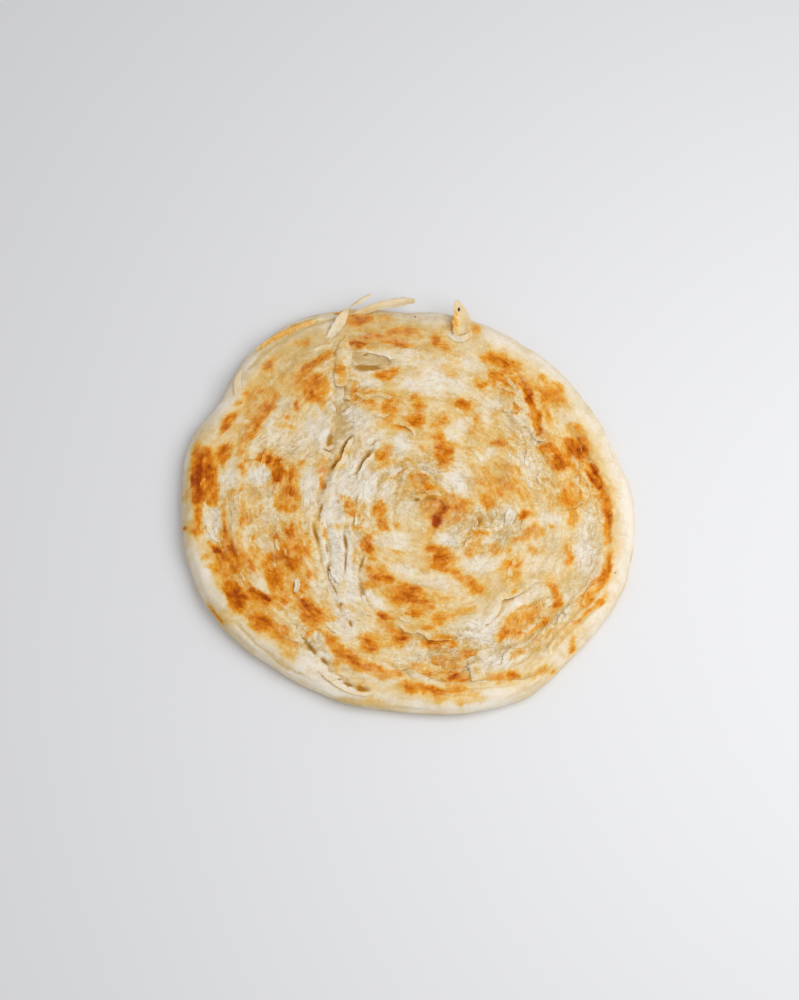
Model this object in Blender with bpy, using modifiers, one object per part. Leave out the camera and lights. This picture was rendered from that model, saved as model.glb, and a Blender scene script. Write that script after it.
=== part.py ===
"""Malabar paratha: one flaky flatbread, coiled from pleated dough, pressed flat and pan fried.

The origin is under the middle of the bread, on the surface that it lies on. +Z is up, and
-Y is the side nearest to someone looking at it. Sizes below are in millimetres.
"""

import math

import bmesh
import bpy
import numpy as np
from mathutils import Vector, noise

MM = 0.001
FULL_TURN = 2.0 * math.pi

# The bread's outline: its radius every 15 degrees, anticlockwise from +X.
EDGE_RADII = (
    85.3, 81.1, 79.2, 78.1, 77.7, 78.0, 77.0, 80.5, 85.0, 84.4, 82.0, 85.5,
    84.8, 85.2, 84.1, 81.4, 79.8, 80.0, 80.0, 83.6, 86.6, 85.2, 86.4, 86.6,
)
EDGE_WOBBLE = 0.5
WOBBLE_RATE = 4.0
THICKNESS = 9.6
WIDEST_HEIGHT = 4.2
SHOULDER = 7.5
UNDERCUT = 4.5
SWELL = 1.0
SWELL_LENGTH = 34.0

# The coil: where its middle lies, and how many strands cross the bread from there to the edge.
COIL_MIDDLE = (9.0, -6.0)
STRANDS = 4.5
STRANDS_FROM = 1.0 / 3.0
STRAND_RELIEF = 0.38
COIL_REACH = 85.0
CRUMPLED_REACH = 22.0

# Thin dough sheets on top: how high each one steps up and how suddenly, how far its edge runs
# along the coil and across it, and where the noise of each starts.
SHEET_STEP = 0.36
SHEET_SUDDENNESS = 0.3
SHEET_LENGTH = 24.0
SHEET_WIDTH = 8.0
SHEET_STARTS = (0.0, 9.0, 18.0)
RAGGED = 1.4
RAGGED_LENGTH = 6.0

# Each crease is its points, each with a half width, then its depth and the rise on its left.
CREASES = {
    "long_fissure": (
        ((-22.5, 62, 1.2), (-24.3, 52, 2.0), (-24.6, 44, 2.8), (-24, 36, 3.2), (-25.5, 27, 2.8),
         (-28, 19, 1.8), (-30.3, 11, 1.2), (-32, 4, 0.8)), 3.2, 0.5),
    "fissure_foot": (
        ((-31, 9, 0.8), (-33, 0, 0.9), (-34.6, -8, 1.0), (-33.3, -15, 0.9), (-31.5, -24, 0.8),
         (-28, -35, 0.8), (-24, -44, 0.7)), 1.4, 0.4),
    "second_gap": (
        ((-30.2, -6, 0.7), (-29.6, -13, 1.1), (-28.8, -19, 0.8), (-28.9, -25, 0.9),
         (-27, -33, 0.8)), 1.4, 0.0),
    "hairline_gap": (((-23.4, -9, 0.5), (-23, -17, 0.7), (-23.2, -27, 0.5)), 1.2, 0.0),
    "strand_left": (((-37, 4, 0.6), (-37.5, -8, 0.8), (-36, -22, 0.8), (-32, -36, 0.7)), 0.6, -0.2),
    "strand_right": (
        ((-18, 8, 0.6), (-19.5, -4, 0.8), (-19.6, -16, 0.8), (-20.5, -30, 0.7)), 0.7, 0.2),
    "branch_gap": (
        ((-20.5, 26.5, 0.9), (-23.5, 20.5, 1.6), (-27, 15.5, 1.3), (-29.5, 11.5, 0.8)),
        2.2, 0.0),
    "inner_branch": (
        ((-11, 25, 0.8), (-14.5, 20, 1.5), (-17.5, 14, 1.2), (-19, 11, 0.7)), 1.8, 0.0),
    "top_slot": (
        ((-21.5, 57, 1.4), (-17.5, 57.2, 2.4), (-13, 56.6, 2.4), (-8.5, 55, 1.4)), 2.6, 0.5),
    "slot_edge": (((-20.5, 53.6, 0.5), (-15.5, 53.8, 0.7), (-10, 53.6, 0.5)), 0.9, 0.0),
    "top_line": (
        ((-24, 66, 0.9), (-15, 64.5, 1.2), (-7, 62.8, 1.1), (1, 62.3, 1.0), (8, 63.5, 0.7)),
        1.1, 0.4),
    "tail_gap": (
        ((-62, -34, 0.7), (-55, -36.5, 0.9), (-50, -38.5, 0.8), (-45, -44, 0.9),
         (-40, -51.5, 1.0)), 1.2, 0.5),
    "tail_line": (((-40, -51, 0.6), (-34, -60, 0.8), (-27, -66.5, 0.6)), 0.8, 0.4),
    "first_cavity": (((-39, -52.8, 0.8), (-36.6, -56.2, 1.4), (-34.2, -59, 0.9)), 1.8, 0.0),
    "second_cavity": (((-32.8, -60.6, 0.7), (-31, -62, 1.2), (-29.2, -63.2, 0.7)), 1.6, 0.0),
    "tail_slot": (
        ((-27.5, -66, 0.8), (-24, -69.3, 1.3), (-19.5, -72.6, 1.6), (-14.5, -74.8, 1.0)),
        2.4, 0.0),
    "swirl_edge": (
        ((-16, -12, 0.7), (-17.3, -20, 0.9), (-18.3, -28, 1.0), (-17, -35, 1.0),
         (-12.5, -42, 1.0), (-6, -48.5, 1.1), (1, -52.5, 1.2), (8, -54, 1.2),
         (16, -54, 1.0), (21, -52.5, 0.7)), 1.0, -0.5),
    "right_groove": (
        ((58, 33, 0.8), (62, 27, 1.1), (66, 20, 1.3), (70.5, 11, 1.3), (73.5, 3, 1.3),
         (75, -8, 1.3), (75, -18, 1.3), (73.5, -28, 1.3), (69, -36, 1.2), (64, -42, 1.1),
         (59, -48, 0.8)), 1.1, -0.5),
    "right_inner_line": (
        ((42, 50, 0.8), (45, 43, 1.0), (47.5, 36, 1.1), (49, 28, 1.0), (51, 21, 0.7)),
        1.1, 0.3),
    "bottom_line": (
        ((-9, -61, 0.7), (-2, -65.5, 1.0), (6, -69, 1.1), (15, -71.3, 1.2),
         (26, -71.5, 1.2), (37, -70.5, 1.1), (46, -68, 0.9), (54, -63, 0.7)), 1.1, -0.5),
    "ragged_step": (
        ((20, -49, 0.6), (26, -49, 0.7), (31, -46, 0.8), (34.5, -41.5, 0.8),
         (37, -37.5, 0.8), (43, -35, 0.7), (49, -31, 0.6)), 0.4, 0.9),
    "corner_fold": (
        ((36, -57, 0.8), (44, -53, 1.0), (51, -47, 1.0), (56, -41, 0.8)), 0.8, 0.4),
    "corner_line": (
        ((38, -64, 0.8), (47, -59, 1.0), (55, -52, 1.0), (62, -44, 0.8)), 0.8, 0.3),
    "crescent_arc": (
        ((-47, 62, 0.8), (-55, 50, 0.9), (-60, 38, 0.9), (-63, 25, 0.9), (-66, 10, 0.9),
         (-66.5, -5, 0.9), (-65, -18, 1.0), (-60, -28, 0.8)), 0.7, 0.4),
    "left_scrape": (((-75, 3, 0.9), (-73, -3, 1.5), (-71.5, -9, 1.1)), 0.8, 0.0),
    "top_left_fold": (
        ((-60, 52, 0.8), (-52, 60, 0.9), (-42, 67, 1.0), (-32, 71.5, 0.9), (-24, 73, 0.8)),
        0.8, -0.4),
    "middle_fold": (
        ((3, 15, 0.8), (8, 12, 1.1), (12, 7, 1.3), (14, 1, 1.1), (11, -7, 1.4),
         (9, -13, 0.8)), 1.7, 0.5),
    "tent_fold": (((-1, 17, 0.8), (-3.5, 8, 1.0), (-4.5, -1, 0.8)), 0.9, 0.4),
    "tent_side": (((-8, 13, 0.8), (-12, 4, 1.1), (-13, -6, 0.9)), 1.0, -0.4),
    "small_crater": (((25, -4, 1.0), (28.5, -6.5, 2.4), (32, -6, 1.4)), 1.5, 0.0),
    "lower_rim": (
        ((-64, -46, 0.6), (-57, -54, 0.9), (-48, -61.5, 0.9), (-38, -68, 0.6)), 0.6, 0.4),
    "outer_rim": (((74, -38, 0.6), (68, -44, 0.9), (61, -50, 0.8), (55, -57, 0.6)), 0.6, 0.3),
}
CREASE_REACH = 9.0
CREASE_FADE = 0.08
END_DEPTH = 0.35
STEP_LENGTH = 1.2
SAMPLES_PER_POINT = 8

# Loose strips: points with the height of each above the dough and its half width.
STRIPS = {
    "twisted_strip": ((-31.5, 62.5, -0.8, 0.9), (-27.4, 68, 1.1, 1.5), (-23.2, 73.6, 2.0, 1.3),
                      (-18.8, 77.4, 2.5, 1.0), (-14, 80.8, 2.7, 0.7)),
    "far_ribbon": ((-22, 75.4, -0.9, 1.0), (-12, 77.2, 0.9, 1.4), (-4, 78.3, 1.8, 1.7),
                   (2.4, 78.4, 2.2, 1.5)),
    "strap": ((-22.6, 66.8, -1.0, 0.8), (-23.2, 62.5, 0.9, 1.6), (-23.6, 57.5, 1.1, 2.7),
              (-24, 52.5, 0.8, 3.2), (-24.4, 46, -1.4, 2.2)),
    "curled_flap": ((20.4, 64.6, -0.9, 2.4), (20.4, 69, 1.5, 3.2), (19.7, 74.4, 2.7, 2.3),
                    (18.6, 78.5, 3.6, 0.8)),
    "tail_lip": ((-41, -57, -0.9, 0.9), (-35, -64.5, 0.5, 1.2), (-28, -71, 0.6, 1.4),
                 (-20, -75.8, 0.5, 1.3), (-13, -77.6, -0.4, 0.9)),
    "slot_lip": ((-22.5, 61.2, -0.9, 0.8), (-17, 60.8, 0.5, 1.4), (-10.5, 59, 0.5, 1.5),
                 (-4, 56.4, -0.8, 0.9)),
    "middle_flap": ((1.5, 11.5, -0.9, 1.8), (5, 9.4, 1.1, 2.9), (8.4, 7, 1.2, 2.9),
                    (11.4, 4.6, -0.8, 1.8)),
    "pale_chip": ((39.2, -0.4, -0.8, 1.3), (38.7, -4.3, 1.0, 1.9), (37.8, -9, -0.8, 1.4)),
    "square_chip": ((24.5, -59.6, -0.8, 1.8), (25.4, -64, 1.0, 2.2), (26.6, -69.6, -0.8, 1.9)),
}
STRIP_THICKNESS = 0.85
STRIP_CURL = 0.35
STRIP_STEPS = 11
STRIP_COLUMNS = 3

# How finely the body is laid out before its flat stretches are thinned out again.
GRID_CUTS = 150
SIDE_RINGS = 6
EDGE_SAMPLES = 361
BODY_TRIANGLES = 9300
SHARP_ANGLE = math.radians(40.0)

# The uneven layers on the bread's side, and how late they fade towards its top and its foot.
LAYERING = 0.5
LAYERING_RATE = 2.2
LAYERING_FADE = 2.0

# Where in the noise each use of it starts.
WOBBLE_START = 3.7
SWELL_START = 5.0
RAGGED_STARTS = (11.0, 23.0)

DOUGH_COLOUR = (0.82, 0.66, 0.42, 1.0)
DOUGH_ROUGHNESS = 0.6


def clear_scene():
    """Starts from an empty file."""
    for obj in list(bpy.data.objects):
        bpy.data.objects.remove(obj)


def smooth_step(value):
    """Eases from 0 to 1 as the value goes from 0 to 1."""
    share = np.clip(value, 0.0, 1.0)
    return share * share * (3.0 - 2.0 * share)


def fractal(x, y, z, octaves=3):
    """Fractal noise, about -1 to 1, at each of the places."""
    places = np.column_stack([x, y, np.broadcast_to(z, np.shape(x))]).tolist()
    return np.array([noise.fractal(place, 1.0, 2.0, octaves) for place in places])


def between(p0, p1, p2, p3, share):
    """The place at the share of the way from p1 to p2, on a smooth curve through all four."""
    return 0.5 * (
        2.0 * p1
        + (p2 - p0) * share
        + (2.0 * p0 - 5.0 * p1 + 4.0 * p2 - p3) * share**2
        + (3.0 * p1 - p0 - 3.0 * p2 + p3) * share**3
    )


def smooth_path(points, samples):
    """Evenly numbered samples of a smooth curve through the points, a row for each."""
    knots = np.array(points, float)
    before = 2.0 * knots[0] - knots[1]
    after = 2.0 * knots[-1] - knots[-2]
    padded = np.vstack([before, knots, after])
    at = np.linspace(0.0, len(knots) - 1.0, samples)
    first = np.minimum(at.astype(int), len(knots) - 2)
    share = (at - first)[:, None]
    return between(*(padded[first + k] for k in range(4)), share)


def edge_radius(angle):
    """The bread's radius in each direction, with a little unevenness."""
    radii = np.array(EDGE_RADII)
    spaced = np.asarray(angle) / FULL_TURN * len(radii)
    first = np.floor(spaced).astype(int)
    share = spaced - first
    smooth = between(*(radii[(first + k) % len(radii)] for k in (-1, 0, 1, 2)), share)
    wobble = fractal(WOBBLE_RATE * np.cos(angle), WOBBLE_RATE * np.sin(angle), WOBBLE_START)
    return smooth + EDGE_WOBBLE * wobble


def coil_place(x, y):
    """The angle about the coil's middle, and the share of the way from there to the edge."""
    turn = np.linspace(0.0, FULL_TURN, EDGE_SAMPLES)
    reach = edge_radius(turn)
    edge_x = reach * np.cos(turn) - COIL_MIDDLE[0]
    edge_y = reach * np.sin(turn) - COIL_MIDDLE[1]
    edge_angle = np.unwrap(np.arctan2(edge_y, edge_x))
    across, along = x - COIL_MIDDLE[0], y - COIL_MIDDLE[1]
    angle = np.arctan2(along, across)
    wrapped = (angle - edge_angle[0]) % FULL_TURN + edge_angle[0]
    edge = np.interp(wrapped, edge_angle, np.hypot(edge_x, edge_y))
    return angle, np.hypot(across, along) / edge


def nearest_on_path(x, y, path):
    """Distance to the path, positive on its left, and the width and end share there."""
    start, span = path[:-1, :2], np.diff(path[:, :2], axis=0)
    offset = np.stack([x, y], axis=1)[:, None, :] - start[None]
    length = (span**2).sum(1)
    along = np.clip((offset * span).sum(2) / length, 0.0, 1.0)
    gap = offset - along[:, :, None] * span
    distance = np.sqrt((gap**2).sum(2))
    best = distance.argmin(1)
    row = np.arange(len(x))
    side = span[best, 0] * offset[row, best, 1] - span[best, 1] * offset[row, best, 0]
    place = best + along[row, best]
    width = np.interp(place, np.arange(len(path)), path[:, 2])
    ends = np.minimum(place, len(path) - 1.0 - place) / (len(path) - 1.0)
    return distance[row, best] * np.sign(side), width, ends


def crease_relief(x, y):
    """The grooves between strands and sheets, and the steps up beside them."""
    height = np.zeros(len(x))
    for points, depth, rise in CREASES.values():
        path = smooth_path(points, SAMPLES_PER_POINT * len(points))
        low, high = path[:, :2].min(0) - CREASE_REACH, path[:, :2].max(0) + CREASE_REACH
        near = (x > low[0]) & (x < high[0]) & (y > low[1]) & (y < high[1])
        distance, width, ends = nearest_on_path(x[near], y[near], path)
        fade = smooth_step(ends / CREASE_FADE)
        full_depth = depth * (END_DEPTH + (1.0 - END_DEPTH) * fade)
        groove = -full_depth * np.exp(-((distance / width) ** 2))
        raised = smooth_step(0.5 + distance / (2.0 * STEP_LENGTH))
        tail = smooth_step(1.0 - np.abs(distance) / CREASE_REACH)
        height[near] += groove + rise * raised * tail * fade
    return height


def ragged_place(x, y):
    """The places, shaken so that whatever is drawn on them gets torn edges."""
    shake_x, shake_y = (
        RAGGED * fractal(x / RAGGED_LENGTH, y / RAGGED_LENGTH, start) for start in RAGGED_STARTS
    )
    return x + shake_x, y + shake_y


def plain_height(x, y):
    """The height of the dough over each place without its creases."""
    angle, reach = coil_place(*ragged_place(x, y))
    height = THICKNESS + SWELL * fractal(x / SWELL_LENGTH, y / SWELL_LENGTH, SWELL_START)
    strand = STRANDS * reach - angle / FULL_TURN
    height += STRAND_RELIEF * np.cos(FULL_TURN * strand) * smooth_step(reach / STRANDS_FROM)
    out = COIL_REACH * reach
    across = out**2 / (out + CRUMPLED_REACH)
    for start in SHEET_STARTS:
        streak = fractal(
            out * np.cos(angle) / SHEET_LENGTH,
            out * np.sin(angle) / SHEET_LENGTH,
            across / SHEET_WIDTH + start,
        )
        height += SHEET_STEP * (smooth_step(0.5 + streak / SHEET_SUDDENNESS) - 0.5)
    return height


def top_height(x, y):
    """The height of the bread's upper side over each place, before its edge is rounded."""
    return plain_height(x, y) + crease_relief(*ragged_place(x, y))


def laid_out_disc(cuts, rings):
    """A flat disc of radius 1 as a grid, with rings outside it that become the side."""
    bm = bmesh.new()
    bmesh.ops.create_grid(bm, x_segments=cuts, y_segments=cuts, size=1.0)
    for vertex in bm.verts:
        across, along = vertex.co.x, vertex.co.y
        if abs(across) >= abs(along):
            radius, turn = across, (along / across * math.pi / 4.0 if across else 0.0)
        else:
            radius, turn = along, math.pi / 2.0 - across / along * math.pi / 4.0
        vertex.co = Vector((radius * math.cos(turn), radius * math.sin(turn), 0.0))
    border = [edge for edge in bm.edges if edge.is_boundary]
    for ring in range(rings):
        made = bmesh.ops.extrude_edge_only(bm, edges=border)["geom"]
        for vertex in (item for item in made if isinstance(item, bmesh.types.BMVert)):
            vertex.co = vertex.co.normalized() * (2.0 + ring)
        border = [item for item in made if isinstance(item, bmesh.types.BMEdge)]
    bmesh.ops.edgeloop_fill(bm, edges=border)
    return bm


def wrap_body(bm, rings):
    """Bends the flat disc round the bread: relief on top, a round shoulder, a flat foot."""
    flat = np.array([vertex.co[:2] for vertex in bm.verts])
    reach = np.hypot(flat[:, 0], flat[:, 1])
    angle = np.arctan2(flat[:, 1], flat[:, 0])
    edge = edge_radius(angle)
    share = np.clip((1.0 - np.minimum(reach, 1.0)) * edge / SHOULDER, 0.0, 1.0)
    inward = np.where(
        share < 1.0, SHOULDER * (1.0 - np.cos(share * math.pi / 2.0)), (1.0 - reach) * edge
    )
    under = np.clip((reach - 1.0) / rings, 0.0, 1.0) * math.pi / 2.0
    radius = edge - np.where(reach > 1.0, UNDERCUT * (1.0 - np.cos(under)), inward)
    layered = fractal(
        LAYERING_RATE * np.cos(angle), LAYERING_RATE * np.sin(angle), LAYERING_RATE * (share - under)
    )
    to_top = smooth_step(LAYERING_FADE * (1.0 - share))
    to_foot = smooth_step(LAYERING_FADE * np.cos(under))
    radius += LAYERING * layered * to_top * to_foot
    x, y = radius * np.cos(angle), radius * np.sin(angle)
    rounded = np.sqrt(1.0 - (1.0 - np.clip(inward / SHOULDER, 0.0, 1.0)) ** 2)
    top = WIDEST_HEIGHT + (top_height(x, y) - WIDEST_HEIGHT) * rounded
    height = np.where(reach > 1.0, WIDEST_HEIGHT * (1.0 - np.sin(under)), top)
    for vertex, place in zip(bm.verts, np.column_stack([x, y, height]) * MM):
        vertex.co = Vector(place)


def thin_out(obj, triangles):
    """Leaves triangles where the relief bends and takes them from where it's flat."""
    thin = obj.modifiers.new("thin_out", "DECIMATE")
    thin.use_collapse_triangulate = True
    thin.ratio = triangles / len(obj.data.polygons)
    apply_modifiers(obj)


def apply_modifiers(obj):
    """Replaces the object's mesh by what its modifiers make of it."""
    graph = bpy.context.evaluated_depsgraph_get()
    made = bpy.data.meshes.new_from_object(obj.evaluated_get(graph))
    obj.modifiers.clear()
    obj.data = made


def add_object(name, bm, collection):
    """An object of the finished mesh, in the collection."""
    mesh = bpy.data.meshes.new(name)
    bm.to_mesh(mesh)
    bm.free()
    obj = bpy.data.objects.new(name, mesh)
    collection.objects.link(obj)
    return obj


def add_strip(name, points, collection):
    """A thin curled strip of dough that lifts off the bread between its ends."""
    path = smooth_path(points, STRIP_STEPS)
    along = np.gradient(path[:, :2], axis=0)
    along /= np.linalg.norm(along, axis=1)[:, None]
    across = np.column_stack([-along[:, 1], along[:, 0]])
    base = plain_height(path[:, 0], path[:, 1]) + path[:, 2]
    bm = bmesh.new()
    bmesh.ops.create_grid(bm, x_segments=STRIP_STEPS - 1, y_segments=STRIP_COLUMNS, size=1.0)
    for vertex in bm.verts:
        step = round((vertex.co.x + 1.0) / 2.0 * (STRIP_STEPS - 1))
        offset = vertex.co.y * path[step, 3]
        place = path[step, :2] + across[step] * offset
        curl = STRIP_CURL * vertex.co.y**2
        vertex.co = Vector((place[0], place[1], base[step] + curl)) * MM
    bmesh.ops.triangulate(bm, faces=bm.faces)
    strip = add_object(name, bm, collection)
    wall = strip.modifiers.new("wall", "SOLIDIFY")
    wall.thickness = STRIP_THICKNESS * MM
    wall.offset = 0.0
    apply_modifiers(strip)
    return strip


def fuse(body, collection):
    """Joins the strips to the body as one solid, and removes them."""
    union = body.modifiers.new("fuse", "BOOLEAN")
    union.operation = "UNION"
    union.operand_type = "COLLECTION"
    union.collection = collection
    union.solver = "MANIFOLD"
    apply_modifiers(body)
    for strip in list(collection.objects):
        bpy.data.objects.remove(strip)


def keep_largest(body):
    """Fills the hollows that fusing sealed and drops loose scraps: only the bread stays."""
    bm = bmesh.new()
    bm.from_mesh(body.data)
    left, largest = set(bm.verts), set()
    while left:
        found, edge = set(), {left.pop()}
        while edge:
            found |= edge
            edge = {link.other_vert(vertex) for vertex in edge for link in vertex.link_edges}
            edge -= found
        left -= found
        largest = max(largest, found, key=len)
    spare = [vertex for vertex in bm.verts if vertex not in largest]
    bmesh.ops.delete(bm, geom=spare, context="VERTS")
    bm.to_mesh(body.data)
    bm.free()


def dough_material():
    """Pale fried dough."""
    material = bpy.data.materials.new("dough")
    material.use_nodes = True
    shader = material.node_tree.nodes["Principled BSDF"]
    shader.inputs["Base Color"].default_value = DOUGH_COLOUR
    shader.inputs["Roughness"].default_value = DOUGH_ROUGHNESS
    shader.inputs["Metallic"].default_value = 0.0
    return material


def build():
    """The whole bread, as the one object paratha."""
    clear_scene()
    parts = bpy.data.collections.new("malabar_paratha")
    strips = bpy.data.collections.new("loose_strips")
    for collection in (parts, strips):
        bpy.context.scene.collection.children.link(collection)
    bm = laid_out_disc(GRID_CUTS, SIDE_RINGS)
    wrap_body(bm, SIDE_RINGS)
    bmesh.ops.triangulate(bm, faces=bm.faces)
    bmesh.ops.recalc_face_normals(bm, faces=bm.faces)
    body = add_object("paratha", bm, parts)
    thin_out(body, BODY_TRIANGLES)
    for name, points in STRIPS.items():
        add_strip(name, points, strips)
    fuse(body, strips)
    keep_largest(body)
    body.data.materials.clear()
    body.data.materials.append(dough_material())
    body.data.shade_smooth()
    body.data.set_sharp_from_angle(angle=SHARP_ANGLE)


build()
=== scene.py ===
"""Malabar paratha: the looks of one flaky coiled flatbread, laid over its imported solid.

The bread's form is the solid's, made again with finer relief. Thin torn sheets, loose ribbons
and small flakes of dough lie on it. Lengths in this file are in millimetres unless a
property says otherwise, and meshes are in metres.
"""

import math
from types import SimpleNamespace

import bmesh
import bpy
import numpy as np
from bpy.props import FloatProperty, FloatVectorProperty, IntProperty, PointerProperty
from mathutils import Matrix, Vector, noise


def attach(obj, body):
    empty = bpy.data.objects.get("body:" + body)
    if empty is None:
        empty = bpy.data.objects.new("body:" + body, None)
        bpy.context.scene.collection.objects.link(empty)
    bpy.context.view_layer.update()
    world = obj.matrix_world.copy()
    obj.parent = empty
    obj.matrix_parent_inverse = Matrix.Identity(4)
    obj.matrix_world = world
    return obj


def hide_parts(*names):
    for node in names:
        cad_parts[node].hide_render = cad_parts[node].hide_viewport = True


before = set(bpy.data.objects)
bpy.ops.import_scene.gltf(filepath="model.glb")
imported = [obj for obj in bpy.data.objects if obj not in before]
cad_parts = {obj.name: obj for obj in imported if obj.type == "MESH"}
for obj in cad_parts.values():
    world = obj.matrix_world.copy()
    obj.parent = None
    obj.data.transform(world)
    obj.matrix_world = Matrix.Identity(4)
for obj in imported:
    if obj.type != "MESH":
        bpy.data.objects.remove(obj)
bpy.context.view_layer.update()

bl_info = {
    "name": "Malabar Paratha",
    "version": (1, 0, 0),
    "blender": (4, 5, 0),
    "location": "View3D > Sidebar > Paratha",
    "description": "Builds a flaky coiled flatbread, its torn sheets and the stage under it",
    "category": "Object",
}

MM = 0.001
NODE = "paratha"
FULL_TURN = 2.0 * math.pi
QUARTER_TURN = math.pi / 2.0

# The bread's outline: its radius every 15 degrees, anticlockwise from +X. Below it come how
# uneven it is, the height at which the bread is widest, how far in its shoulder and its foot
# reach from there, and how many rings of faces the foot has.
EDGE_RADII = (
    85.3, 81.1, 79.2, 78.1, 77.7, 78.0, 77.0, 80.5, 85.0, 84.4, 82.0, 85.5,
    84.8, 85.2, 84.1, 81.4, 79.8, 80.0, 80.0, 83.6, 86.6, 85.2, 86.4, 86.6,
)
EDGE_WOBBLE = 0.5
WIDEST_HEIGHT = 4.2
SHOULDER = 7.5
UNDERCUT = 4.5
FOOT_RINGS = 6

# The coil: where its middle lies, how many strands cross the bread from there to the edge, how
# long that way is taken to be, and how much of it is crumpled.
COIL_MIDDLE = (9.0, -6.0)
STRANDS = 4.5
COIL_REACH = 85.0
CRUMPLED_REACH = 22.0

# Torn sheets in the relief: how far each edge runs along the coil and across it, its share of
# the full step, how suddenly it steps, and where its noise starts.
SHEETS = (
    (24.0, 8.0, 1.0, 0.3, 0.0),
    (24.0, 8.0, 1.0, 0.3, 9.0),
    (24.0, 8.0, 1.0, 0.3, 18.0),
    (12.0, 7.0, 0.6, 0.14, 31.0),
    (8.0, 5.0, 0.45, 0.12, 47.0),
)

# How far torn edges are shaken, and over which lengths.
RAGGED = ((1.4, 6.0), (0.5, 1.9))

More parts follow.
